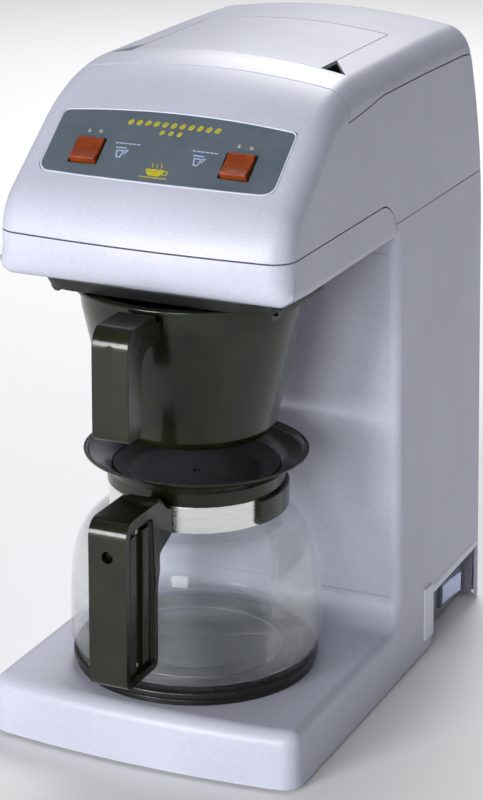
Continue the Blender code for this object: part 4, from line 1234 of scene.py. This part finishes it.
# ---------------------------------------------------------------- control panel
@dataclass
class ControlPanel:
    """The facing plate, its printed marks, the two rockers and the four lamps."""

    housing: Housing
    rocker_tilt: float = math.radians(6)
    lamp_y: float = 8.5 * MM
    tree: BVHTree | None = None

    def plate(self) -> None:
        """The curved facing plate with its holes."""
        house = self.housing
        plate = house.panel_space("panel_facing", 0.0)
        plate = combine(plate, house.form(0.2 * MM), Operation.KEEP, keep_tool=True)
        plate = combine(plate, house.form(1.3 * MM), Operation.CUT, keep_tool=True)
        for x in (-house.switch_x, house.switch_x):
            plate = combine(plate, house.panel_block("tool", (x, house.switch_y), 20.6 * MM))
        plate = shade(plate)
        bpy.context.view_layer.update()
        self.tree = BVHTree.FromObject(plate, bpy.context.evaluated_depsgraph_get())
        hand_in(plate, PANEL_ABS, Body.MACHINE, "control_panel")

    def drape(self, points: Sequence[Point2], lift: float) -> list[Vector]:
        """Lay points of the panel's own plane on its face.

        Args:
            points: places across and up the slope.
            lift: how far over the face they lie.

        Returns:
            The places in the frame.
        """
        matrix = self.housing.panel_matrix()
        out = (matrix.to_3x3() @ Vector((0, 0, 1))).normalized()
        laid = []
        for x, y in points:
            start = matrix @ Vector((x, y, 20 * MM))
            hit = self.tree.ray_cast(start, -out)[0]
            laid.append((hit or matrix @ Vector((x, y, -2 * MM))) + out * lift)
        return laid

    def print_mark(self, outline: Sequence[Point2], thickness: float = 0.06 * MM) -> bpy.types.Object:
        """A printed patch laid on the face.

        Args:
            outline: its closed outline in the panel's plane.
            thickness: how far the ink stands over the face.

        Returns:
            The patch.
        """
        centre = (sum(p[0] for p in outline) / len(outline),
                  sum(p[1] for p in outline) / len(outline))
        shape = bmesh.new()
        top = [shape.verts.new(p) for p in self.drape(outline, thickness)]
        bottom = [shape.verts.new(p) for p in self.drape(outline, -0.02 * MM)]
        over = shape.verts.new(self.drape([centre], thickness)[0])
        under = shape.verts.new(self.drape([centre], -0.02 * MM)[0])
        count = len(outline)
        for i in range(count):
            j = (i + 1) % count
            shape.faces.new((top[i], top[j], over))
            shape.faces.new((bottom[j], bottom[i], under))
            shape.faces.new((bottom[i], bottom[j], top[j], top[i]))
        return from_shape("mark", shape)

    def stroke(self, points: Sequence[Point2], width: float) -> list[bpy.types.Object]:
        """A printed line as short patches end to end.

        Args:
            points: the places that it runs through in the panel's plane.
            width: how wide the line is.

        Returns:
            The patches.
        """
        marks = []
        for start, end in zip(points, points[1:]):
            a, b = Vector(start), Vector(end)
            along = (b - a).normalized()
            side = Vector((-along.y, along.x)) * width / 2
            reach = along * width * 0.3
            corners = [a - reach - side, b + reach - side, b + reach + side, a - reach + side]
            marks.append(self.print_mark([(c.x, c.y) for c in corners]))
        return marks

    def bean(self, centre: Point2, size: float) -> list[bpy.types.Object]:
        """A coffee bean in two halves with a gap between them.

        Args:
            centre: its place in the panel's plane.
            size: its width, near enough.

        Returns:
            The two halves.
        """
        marks = []
        for side in (-1, 1):
            half = []
            for i in range(13):
                angle = math.radians(-90 + 180 * i / 12)
                across = side * (0.12 + 0.88 * math.cos(angle)) * size * 0.42
                half.append((across, math.sin(angle) * size * 0.62))
            turn = Matrix.Rotation(math.radians(-35), 2)
            placed = [turn @ Vector(p) for p in half]
            marks.append(self.print_mark([(p.x + centre[0], p.y + centre[1]) for p in placed]))
        return marks

    def jug(self, centre: Point2, size: float) -> list[bpy.types.Object]:
        """A small line drawing of a jug under a line.

        Args:
            centre: its place in the panel's plane.
            size: its width, near enough.

        Returns:
            The patches of its lines.
        """
        body = [(-0.6, 0.35), (0.25, 0.35), (0.05, -0.55), (-0.4, -0.55), (-0.6, 0.35)]
        spout = [(0.25, 0.35), (0.75, 0.45), (0.35, -0.1)]
        over = [(-0.8, 0.75), (0.4, 0.75)]
        marks: list[bpy.types.Object] = []
        for line, width in ((body, 0.16), (spout, 0.14), (over, 0.16)):
            placed = [(centre[0] + x * size, centre[1] + y * size) for x, y in line]
            marks += self.stroke(placed, width * size)
        return marks

    def marks(self) -> None:
        """The printed marks, yellow in the middle and pale blue at the switches, and the lip."""
        yellow: list[bpy.types.Object] = []
        for i in range(-5, 6):
            yellow += self.bean((i * 5.9 * MM, 17.6 * MM), 3.9 * MM)
        for i in range(-1, 2):
            yellow += self.bean((i * 5.9 * MM, 11.4 * MM), 3.3 * MM)
        cup = [(-6.5, -16.5), (6.5, -16.5), (5.6, -19.4), (3.4, -21.6), (-3.4, -21.6), (-5.6, -19.4)]
        yellow.append(self.print_mark(in_metres(cup)))
        yellow += self.stroke([(-9 * MM, -22.9 * MM), (9 * MM, -22.9 * MM)], 0.8 * MM)
        ear = [(6.4, -17.4), (8.6, -17.6), (8.2, -19.8), (5.6, -20.2)]
        yellow += self.stroke(in_metres(ear), 0.7 * MM)
        for x in (-3, 0, 3):
            steam = [((x + 0.6 * math.sin(i * 1.3)) * MM, (-15.2 + i * 0.75) * MM) for i in range(5)]
            yellow += self.stroke(steam, 0.6 * MM)
        hand_in(join("panel_marks_yellow", yellow), PRINT_YELLOW, Body.MACHINE)
        blue: list[bpy.types.Object] = []
        for x in (-27.5, 25.0):
            blue += self.jug((x * MM, -7.0 * MM), 5.6 * MM)
            for dash in range(6):
                start = (x - 6.0 + dash * 2.9) * MM
                blue += self.stroke([(start, 0.6 * MM), (start + 1.8 * MM, 0.6 * MM)], 0.9 * MM)
        hand_in(join("panel_marks_blue", blue), PRINT_BLUE, Body.MACHINE)
        line = self.housing.panel_outline(-0.5 * MM)
        border = wire("panel_border", self.drape(line, -0.2 * MM), 0.75 * MM, closed=True, resolution=3)
        hand_in(border, PANEL_BORDER, Body.MACHINE)

    def rocker(self, name: str, body: Body, x: float) -> None:
        """A rocker button whose face is dished along the slope, with its bezel.

        Args:
            name: the button's CAD node.
            body: the body that it rides on.
            x: its place across the panel.
        """
        house = self.housing
        half_x, half_y, depth = 9.0 * MM, 8.9 * MM, 4 * MM
        section = []
        for i in range(17):
            t = -1 + i / 8
            section.append((t * half_y, depth - 1.1 * MM * (1 - t * t)))
        outline = section + [(half_y, -depth), (-half_y, -depth)]
        button = soften(extrude(name + "_button", outline, -half_x, half_x, 'X'), 1.2 * MM, 5, 30)
        turn = (house.panel_matrix() @ Matrix.Translation((x, house.switch_y, -1.6 * MM))
                @ Matrix.Rotation(-self.rocker_tilt, 4, 'X'))
        button.data.transform(turn)
        hand_in(button, ROCKER_ORANGE, body, name)
        outer, inner = 10.2 * MM, 9.4 * MM
        ring = [[(-r, -r, c), (r, -r, c), (r, r, c), (-r, r, c)]
                for r, c in ((outer, 1.6 * MM), (inner, 0.7 * MM))]
        frame = extrude(name + "_bezel", rounded(ring[0], 5), -16.5 * MM, -1.1 * MM)
        frame = combine(frame, extrude("tool", rounded(ring[1], 5), -14 * MM, 5 * MM))
        frame = soften(frame, 0.35 * MM, 3)
        frame.data.transform(house.panel_matrix() @ Matrix.Translation((x, house.switch_y, 0)))
        hand_in(frame, BLACK_ABS, Body.MACHINE, name.replace("rocker", "switch_bezel"))

    def lamps(self) -> None:
        """Four domed lenses over the switches."""
        section = [(0, 0.9), (0.6, 0.8), (1.15, 0.45), (1.5, 0), (1.6, -0.3), (1.6, -3), (0, -3)]
        dome = turned("lens", in_metres(section), (0, 0), 24)
        dome.data.transform(self.housing.panel_matrix().to_3x3().to_4x4())
        places = self.drape([(s * self.housing.switch_x + d * MM, self.lamp_y)
                             for s in (-1, 1) for d in (-4, 4)], 0.1 * MM)
        lenses = Repeater("lamp_lenses", LENS_CLEAR).build(dome, places)
        hand_in(lenses, LENS_CLEAR, Body.MACHINE, "brew_lamp_left", "brew_lamp_right",
                "warmer_lamp_left", "warmer_lamp_right")

    def build(self) -> None:
        """Build the whole panel."""
        self.plate()
        self.marks()
        self.rocker("brew_rocker", Body.BREW_ROCKER, self.housing.switch_x)
        self.rocker("warmer_rocker", Body.WARMER_ROCKER, -self.housing.switch_x)
        self.lamps()


@dataclass
class PowerSwitch:
    """The recess low in the right side with the main rocker in it."""

    centre: tuple[float, float, float] = (98 * MM, 158 * MM, 19 * MM)
    tilt: float = math.radians(5)

    def build(self) -> None:
        """Build the pocket, the bezel and the rocker."""
        y_from, y_to, top = Housing.pocket
        _, y, z = self.centre
        pocket = block("main_switch_pocket", (95 * MM, y_from + 0.3 * MM, 2.4 * MM),
                       (106 * MM, y_to - 0.3 * MM, top - 0.3 * MM))
        hollow = rounded([(y_from + 2 * MM, -10 * MM, 0), (y_to - 2 * MM, -10 * MM, 0),
                          (y_to - 2 * MM, top - 4.5 * MM, 3 * MM),
                          (y_from + 2 * MM, top - 4.5 * MM, 3 * MM)], 5)
        pocket = combine(pocket, extrude("tool", hollow, 97 * MM, 130 * MM, 'X'))
        pocket = combine(pocket, block("tool", (80 * MM, y - 19 * MM, z - 10 * MM),
                                       (120 * MM, y + 19 * MM, z + 10 * MM)))
        # The pocket and its bezel are painted darker grey as painted shade in the recess.
        hand_in(soften(pocket, 0.3 * MM, 2), ABS_PAINTED_RECESS_SHADE, Body.MACHINE, "power_switch_pocket")
        bezel = block("main_switch_bezel", (86 * MM, y - 18.7 * MM, z - 9.7 * MM),
                      (100.5 * MM, y + 18.7 * MM, z + 9.7 * MM))
        bezel = combine(bezel, block("tool", (90 * MM, y - 16.8 * MM, z - 8.0 * MM),
                                     (120 * MM, y + 16.8 * MM, z + 8.0 * MM)))
        hand_in(soften(bezel, 0.3 * MM, 3), ABS_PAINTED_RECESS_SHADE, Body.MACHINE, "power_switch_bezel")
        half, depth = 16.2 * MM, 4 * MM
        section = [(depth - 0.9 * MM * (1 - t * t), t * half) for t in [-1 + i / 10 for i in range(21)]]
        outline = section + [(-depth, half), (-depth, -half)]
        rocker = soften(extrude("main_rocker_button", outline, -7.6 * MM, 7.6 * MM), 0.7 * MM, 3, 30)
        rocker.data.transform(Matrix.Translation(self.centre) @ Matrix.Rotation(-self.tilt, 4, 'Z'))
        hand_in(rocker, ROCKER_WHITE, Body.POWER_ROCKER, "power_rocker")


# ---------------------------------------------------------------- hot plate
@dataclass
class HotPlate:
    """The coated plate that the carafe stands on, with its trim ring."""

    centre: Point2 = (0.0, -74 * MM)

    def build(self) -> None:
        """Build the plate with a painted reflection on its centre, the bead on it and the ring under
        it.
        """
        rim = [(0, 50.9, 0), (70, 50.9, 0), (72, 51.7, 0.5), (80.4, 51.7, 1.2), (82, 50.2, 0.8),
               (82, 47, 0.8), (80.5, 45.6, 0.8), (0, 45.6, 0)]
        plate = Lathe("hot_plate", PLATE_COATING, self.centre, 144).build(fillet(rim))
        hand_in(plate, PLATE_COATING, Body.MACHINE, "warmer_plate")
        # A paler disc on the centre: a painted reflection of the carafe's glass bottom.
        disc = in_metres([(0, 51.06), (55, 51.06), (55.5, 50.8), (0, 50.8)])
        reflection_patch = Lathe("hot_plate_rubbed", PLATE_PAINTED_REFLECTION, self.centre).build(disc)
        hand_in(reflection_patch, PLATE_PAINTED_REFLECTION, Body.MACHINE)
        edge = [(58.2, 50.8, 0), (58.2, 51.9, 0.4), (56.4, 51.9, 0.4), (56.4, 50.8, 0)]
        bead = Lathe("hot_plate_bead", STEEL_PLAIN, self.centre).build(fillet(edge))
        hand_in(bead, STEEL_PLAIN, Body.MACHINE)
        trim = [(80, 45.3, 0.8), (80, 41.4, 0.4), (58, 41.4, 0.4), (58, 45.3, 0.4)]
        ring = Lathe("hot_plate_ring", PLATE_COATING, self.centre).build(fillet(trim))
        hand_in(ring, PLATE_COATING, Body.MACHINE, "warmer_ring")


# ---------------------------------------------------------------- brew basket
@dataclass
class BrewBasket:
    """The cone of the filter basket with its flange and its handle."""

    centre: Point2 = (0.0, -79 * MM)
    rim: float = 77.4
    radius: float = 73.2
    top: float = 306.4
    rib_count: int = 16

    def bowl(self) -> None:
        """The cone, with ribs inside that hold the paper off its wall."""
        r, top = self.radius, self.top
        section = [(self.rim, top, 0.8), (self.rim, top - 2.8, 0.8), (r, top - 2.8, 0.6),
                   (r - 0.6, 296, 0.8), (r - 1.4, 290, 0.8), (54, 211, 3), (50, 207, 2),
                   (14, 205.5, 2), (10, 199, 0.6), (5, 199, 0.6), (5, 208, 1), (48, 209.6, 2),
                   (51.4, 212.4, 2), (r - 3.2, 294, 0.6), (r - 2.4, top, 0.6)]
        bowl = Lathe("basket_cone", PHENOLIC, self.centre, 144).build(fillet(section))
        hand_in(bowl, PHENOLIC, Body.BASKET, "basket_bowl")
        rib = block("rib", (-0.6 * MM, -0.9 * MM, -38 * MM), (0.6 * MM, 0.5 * MM, 38 * MM))
        lean = math.atan2(r - 3.2 - 51.4, 294 - 212.4)
        reach = (51.4 + (r - 3.2 - 51.4) * 0.5) * MM
        angles = [2 * math.pi * i / self.rib_count for i in range(self.rib_count)]
        places = [(self.centre[0] - reach * math.sin(a), self.centre[1] + reach * math.cos(a),
                   253 * MM) for a in angles]
        turns = [(-lean, 0.0, a) for a in angles]
        ribs = Repeater("basket_ribs", PHENOLIC_DULL).build(rib, places, turns=turns)
        hand_in(ribs, PHENOLIC_DULL, Body.BASKET)

    def handle(self) -> None:
        """The vertical grip in front, with its rounded shoulders and the plug over its screw."""
        corners = [(-199, 233, 5), (-181, 233, 4), (-181, 278, 5), (-174, 287, 4), (-153.4, 287, 1),
                   (-153.4, 299.8, 1), (-159.5, 299.8, 1), (-160.5, 305, 2), (-192, 305, 3),
                   (-199, 298, 6)]
        outline = rounded(in_metres(corners), 6)
        grip = extrude("basket_grip", outline, -12.5 * MM, 12.5 * MM, 'X')
        grip = soften(grip, 2.2 * MM, 5, 40)
        hand_in(grip, PHENOLIC, Body.BASKET, "basket_handle")
        section = [(0, 0.05, 0), (3.0, 0.05, 0.3), (3.2, -0.5, 0.1), (3.2, -2, 0), (0, -2, 0)]
        plug = turned("basket_grip_plug", fillet(section, 3), (0, 0), 36)
        plug.data.transform(Matrix.Translation((0, -199 * MM, 292 * MM))
                            @ Matrix.Rotation(math.radians(90), 4, 'X'))
        hand_in(plug, PHENOLIC, Body.BASKET, "basket_handle_screw")

    def holder(self) -> None:
        """The plate under the head with sloping edges, and its two rails."""
        rings = []
        for shrink, z in ((0.0, 317.7), (0.0, 314.5), (2.6, 307.8), (3.4, 307.2)):
            corners = [(-79.5 + shrink, -145 + shrink, 22), (79.5 - shrink, -145 + shrink, 22),
                       (79.5 - shrink, 20 - shrink, 3), (-79.5 + shrink, 20 - shrink, 3)]
            rings.append([(x, y, z * MM) for x, y in rounded(in_metres(corners), 10)])
        plate = loft("holder_plate", rings)
        hole = turned("tool", in_metres([(0, 330), (42, 330), (42, 300), (0, 300)]), self.centre, 64)
        hand_in(shade(combine(plate, hole), 35), BLACK_ABS, Body.MACHINE, "basket_holder")
        for name, side in (("left", -1), ("right", 1)):
            section = [(73.8, 300.4, 0), (76.5, 300.4, 0.8), (79.0, 303.2, 1.0), (79.3, 307.1, 0),
                       (78.1, 307.1, 0), (77.9, 303.2, 0), (73.8, 303.2, 0)]
            outline = rounded(in_metres((side * a, b, c) for a, b, c in section), 4)
            rail = extrude("holder_rail_" + name, outline, -124 * MM, -54 * MM, 'Y')
            hand_in(shade(rail, 35), BLACK_ABS, Body.MACHINE, "basket_rail_" + name)

    def build(self) -> None:
        """Build the basket and what holds it."""
        self.bowl()
        self.handle()
        self.holder()


# ---------------------------------------------------------------- carafe
@dataclass
class Carafe:
    """The glass with its band, collar, handle and lid."""

    centre: Point2 = (0.0, -74 * MM)
    radius: float = 83.5
    band_radius: float = 57.6
    band: Point2 = (151.5, 169.5)
    front: float = -204.5

    def glass(self) -> None:
        """The blown glass with its rolled foot and the bead on its floor."""
        neck = self.band_radius - 1.9
        side = [(neck + (82.5 - neck) * math.sin(math.radians(a)), 105 + 44 * math.cos(math.radians(a)))
                for a in range(10, 91, 4)]
        foot = [(self.radius, 96), (self.radius, 80), (self.radius, 66)]
        foot += arc((self.radius - 9, 62.5), 9, 0, -72, 12)
        foot += [(self.radius - 11, 52.0)]
        outer = [(neck, self.band[1]), (neck, self.band[0] - 1)] + side + foot
        inner = [(neck - 2, self.band[1]), (neck - 2, self.band[0] - 1.4)]
        inner += [(r - 2, z - 0.4) for r, z in side]
        inner += [(self.radius - 2, z) for z in (96, 80, 66)]
        inner += arc((self.radius - 9, 62.5), 7, -8, -75, 10)
        inner += [(self.radius - 13, 55.2)]
        bead = [(60.5, 55.3), (59.4, 57.0), (57.6, 57.9), (55.8, 57.2), (54.4, 55.4)]
        under = [(0, 53.4), (55, 53.3), (self.radius - 14, 52.9)]
        profile = under + outer[::-1] + inner + bead + [(0, 55.6)]
        glass = Lathe("carafe_bowl", CARAFE_GLASS, self.centre, 160).build(in_metres(profile))
        hand_in(glass, CARAFE_GLASS, Body.CARAFE, "carafe_glass")

    def band_and_collar(self) -> None:
        """The steel band round the neck, and the black collar over its rear and its right side."""
        r, (low, high) = self.band_radius, self.band
        section = [(r, high, 0.3), (r, low, 0.3), (r - 1.5, low, 0.3), (r - 1.5, high, 0.3)]
        ring = Lathe("neck_band", STEEL_BRUSHED, self.centre, 144).build(fillet(section, 3))
        hand_in(ring, STEEL_BRUSHED, Body.CARAFE, "carafe_band")
        section = [(r + 3.8, high, 1.2), (r + 3.8, low + 1.5, 1.2), (r + 0.3, low + 1.5, 0.3),
                   (r + 0.3, high, 0.3)]
        collar = turned("neck_collar", fillet(section), self.centre, 144)
        cut = block("tool", (-90 * MM, -200 * MM, 120 * MM), (90 * MM, -97.5 * MM, 190 * MM))
        collar = combine(collar, cut)
        left = block("tool", (-90 * MM, -200 * MM, 120 * MM), (-20 * MM, -66 * MM, 190 * MM))
        collar = soften(combine(collar, left), 0.3 * MM, 2, 60)
        hand_in(collar, PHENOLIC, Body.CARAFE, "carafe_collar")

    def handle(self) -> None:
        """The hollow-sided grip, its ribs, its arm and its screw."""
        front, rear = self.front, -159.2
        corners = [(front, 183, 12), (-150, 183, 5), (-141, 172, 4), (-132.6, 168.5, 1),
                   (-132.6, 152, 1),
                   (-150, 145, 5), (rear, 130, 8), (rear, 71, 6), (front, 71, 8)]
        outline = rounded(in_metres(corners), 8)
        grip = extrude("carafe_grip", outline, -13 * MM, 13 * MM, 'X')
        for side in (-1, 1):
            low, high = sorted((side * 10 * MM, side * 20 * MM))
            waist = block("tool", (low, -156.3 * MM, 120 * MM), (high, -120 * MM, 190 * MM))
            grip = combine(grip, waist)
        grip = soften(grip, 1.8 * MM, 5, 40)
        for side in (-1, 1):
            low, high = sorted((side * 9 * MM, side * 20 * MM))
            hollow = [(-199.5, 76, 4), (-163, 76, 4), (-163, 128, 6), (-167, 176, 5), (-199.5, 176, 5)]
            grip = combine(grip, extrude("tool", rounded(in_metres(hollow), 5), low, high, 'X'))
        hole = extrude("tool", arc((0, 160 * MM), 4 * MM, 0, 345, 23), -220 * MM, -196.5 * MM, 'Y')
        grip = shade(combine(grip, hole), 35)
        hand_in(grip, PHENOLIC, Body.CARAFE, "carafe_handle")
        screw = RearCover().screw()
        screw.data.transform(Matrix.Translation((0, -201 * MM, 160 * MM))
                             @ Matrix.Rotation(math.pi, 4, 'Z')
                             @ Matrix.Diagonal((1.05, 0.6, 1.05, 1)))
        screw.name = "carafe_grip_screw"
        hand_in(screw, STEEL_BLACKENED, Body.CARAFE, "carafe_handle_screw")
        self.ribs()

    def ribs(self) -> None:
        """Two upright ribs in each hollow side of the grip, and the rivets at their ends."""
        rib = block("rib", (-1.8 * MM, -4.2 * MM, -46 * MM), (1.8 * MM, 4.2 * MM, 46 * MM))
        rib = soften(rib, 0.9 * MM, 4)
        places = [(side * 9.9 * MM, y * MM, 125 * MM) for side in (-1, 1) for y in (-191.5, -173.5)]
        ribs = Repeater("grip_ribs", PHENOLIC).build(rib, places)
        hand_in(ribs, PHENOLIC, Body.CARAFE)
        section = [(0, 0.7), (0.9, 0.5), (1.5, 0), (1.5, -1), (0, -1)]
        head = turned("rivet", in_metres(section), (0, 0), 20)
        both = []
        for side in (-1, 1):
            one = link_object("rivet_side", head.data.copy())
            one.data.transform(Matrix.Rotation(math.radians(90 * side), 4, 'Y'))
            spots = [(side * 9.2 * MM, -182.5 * MM, z * MM) for z in (80.5, 171)]
            both.append(Repeater("rivets_%d" % side, STEEL_PLAIN).build(one, spots))
        bpy.data.objects.remove(head)
        hand_in(join("grip_rivets", both), STEEL_PLAIN, Body.CARAFE)

    def lid(self) -> None:
        """The dished lid with its thin rim, its drip hole, and a darker lining over its dish as painted
        shade.
        """
        rim, top, neck = 74, 191, self.band[1]
        section = [(rim, top, 0.25), (rim - 0.3, top - 1.6, 0.5), (69, top - 3.4, 1.0),
                   (63.5, top - 6.6, 1.2), (61, top - 9.5, 1), (59, top - 12, 1),
                   (58.5, neck + 0.3, 0.6), (52, neck + 0.3, 0.3), (52, neck - 6, 0.5),
                   (48, neck - 6, 0.5), (48, neck, 0.5), (10, neck + 2, 1), (2.4, neck + 2, 0.5),
                   (2.4, neck + 4, 0.5), (44, neck + 5, 3), (54, neck + 10, 4), (60, top - 7, 3),
                   (70, top - 3.0, 1.5), (72, top, 1.0)]
        lid = Lathe("carafe_cover", PHENOLIC, self.centre, 160).build(fillet(section))
        hand_in(lid, PHENOLIC, Body.CARAFE_LID, "carafe_lid")
        # A darker, duller lining over the dish: painted shade of the deep funnel.
        lining = [(2.6, neck + 4.05, 0.2), (44, neck + 5.05, 3), (54, neck + 10.1, 2),
                  (54.6, neck + 10.9, 0.1),
                  (54, neck + 10.5, 1), (44, neck + 5.35, 3), (2.6, neck + 4.35, 0.2)]
        dish = Lathe("carafe_cover_dish", PHENOLIC_PAINTED_SHADE, self.centre, 128).build(fillet(lining, 3))
        hand_in(dish, PHENOLIC_PAINTED_SHADE, Body.CARAFE_LID)

    def build(self) -> None:
        """Build the carafe from the glass up."""
        self.glass()
        self.band_and_collar()
        self.handle()
        self.lid()


# ---------------------------------------------------------------- pieces that keep their shape
@dataclass
class CarriedOver:
    """CAD pieces whose shape is right as it is, with the finish of each."""

    finishes: dict[str, Finish] = field(default_factory=lambda: {
        "base_plate": ALUMINIUM_CAST, "foot_front_left": RUBBER, "foot_front_right": RUBBER,
        "foot_rear_left": RUBBER, "foot_rear_right": RUBBER, "power_inlet": BLACK_ABS,
        "control_board": SOLDER_MASK, "hinge_bracket_left": BLACK_ABS, "hinge_bracket_right": BLACK_ABS,
        "lid_pin_left": STEEL_PLAIN, "lid_pin_right": STEEL_PLAIN, "fill_tray": TANK_PP,
        "fill_strainer": STEEL_PLAIN, "water_tank": TANK_PP, "tank_outlet_tube": SILICONE,
        "check_valve": BLACK_ABS, "heater_block": ALUMINIUM_CAST, "brew_thermostat": CERAMIC,
        "riser_tube": SILICONE, "spray_head": BLACK_ABS, "terminal_block": CERAMIC,
        "warmer_element": STEEL_PLAIN, "warmer_thermostat": CERAMIC})

    def build(self, nodes: dict[str, bpy.types.Object]) -> None:
        """Give each piece its finish.

        Args:
            nodes: the frame's objects by name.
        """
        for name, finish in self.finishes.items():
            piece = nodes[name]
            made = finish.build()
            if not piece.material_slots:
                piece.data.materials.append(made)
            for entry in piece.material_slots:
                entry.material = made
            LOG.info("%s keeps its shape", name)


# ---------------------------------------------------------------- stage
@dataclass
class Studio:
    """A pale floor, soft lights in front and above behind, and the camera.

    Each light has its name, its place, its size in metres and its power in watts.
    """

    target: tuple[float, float, float] = (0.0301, -0.0635, 0.2237)
    azimuth: float = math.radians(23.66)
    elevation: float = math.radians(18.77)
    distance: float = 1.6475
    roll: float = math.radians(0.57)
    lens: float = 113.99
    shift: float = -0.005
    lights: tuple[tuple[str, tuple[float, float, float], float, float], ...] = (
        ("front_low", (-0.9, -3.0, 0.7), 1.0, 74),
        ("front_right", (0.5, -3.0, 0.95), 0.8, 28),
        ("above_behind", (-0.6, 2.1, 2.3), 1.3, 64))

    def camera(self) -> None:
        """The camera, which sees the front, the top and the right side."""
        data = bpy.data.cameras.new("camera")
        data.sensor_width = 36
        data.lens = self.lens
        data.shift_x = self.shift
        made = link_object("camera", data)
        back = Vector((math.sin(self.azimuth) * math.cos(self.elevation),
                       -math.cos(self.azimuth) * math.cos(self.elevation), math.sin(self.elevation)))
        made.location = Vector(self.target) + back * self.distance
        turn = (-back).to_track_quat('-Z', 'Y') @ Quaternion((0, 0, 1), self.roll)
        made.rotation_euler = turn.to_euler()
        bpy.context.scene.camera = made

    def light(self, name: str, place: Sequence[float], size: float, power: float,
              aim: Sequence[float] = (0, 0, 0.2)) -> None:
        """One square soft light that looks at a point.

        Args:
            name: the light's name.
            place: where it hangs.
            size: the length of its side.
            power: its power.
            aim: the point that it looks at.
        """
        data = bpy.data.lights.new(name, 'AREA')
        data.shape = 'SQUARE'
        data.size = size
        data.energy = power
        made = link_object(name, data)
        made.location = place
        made.rotation_euler = (Vector(aim) - Vector(place)).to_track_quat('-Z', 'Y').to_euler()

    def build(self) -> None:
        """Set up floor, lights and camera."""
        shape = bmesh.new()
        bmesh.ops.create_grid(shape, x_segments=2, y_segments=2, size=6)
        mesh = bpy.data.meshes.new("floor")
        shape.to_mesh(mesh)
        shape.free()
        floor = link_object("floor", mesh)
        floor.location = (0, 0, -0.0004)
        paper = bpy.data.materials.new("paper_backdrop_white")
        paper.use_nodes = True
        shader = paper.node_tree.nodes["Principled BSDF"]
        shader.inputs["Base Color"].default_value = linear("F4F4F4")
        shader.inputs["Roughness"].default_value = 0.9
        floor.data.materials.append(paper)
        world = bpy.data.worlds.new("studio")
        world.use_nodes = True
        world.node_tree.nodes["Background"].inputs["Color"].default_value = linear("F1F3F8")
        world.node_tree.nodes["Background"].inputs["Strength"].default_value = 0.25
        bpy.context.scene.world = world
        bpy.context.scene.view_settings.view_transform = 'Standard'
        for light in self.lights:
            self.light(*light)
        self.camera()


def main() -> None:
    """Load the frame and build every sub-assembly on it."""
    logging.basicConfig(level=logging.INFO, format="%(name)s: %(message)s")
    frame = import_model()
    Studio().build()
    housing = Housing()
    housing.build()
    ControlPanel(housing).build()
    housing.clear()
    RearCover().build()
    PowerSwitch().build()
    HotPlate().build()
    BrewBasket().build()
    Carafe().build()
    CarriedOver().build(frame["nodes"])
    bpy.context.view_layer.update()


if __name__ == "__main__":
    main()
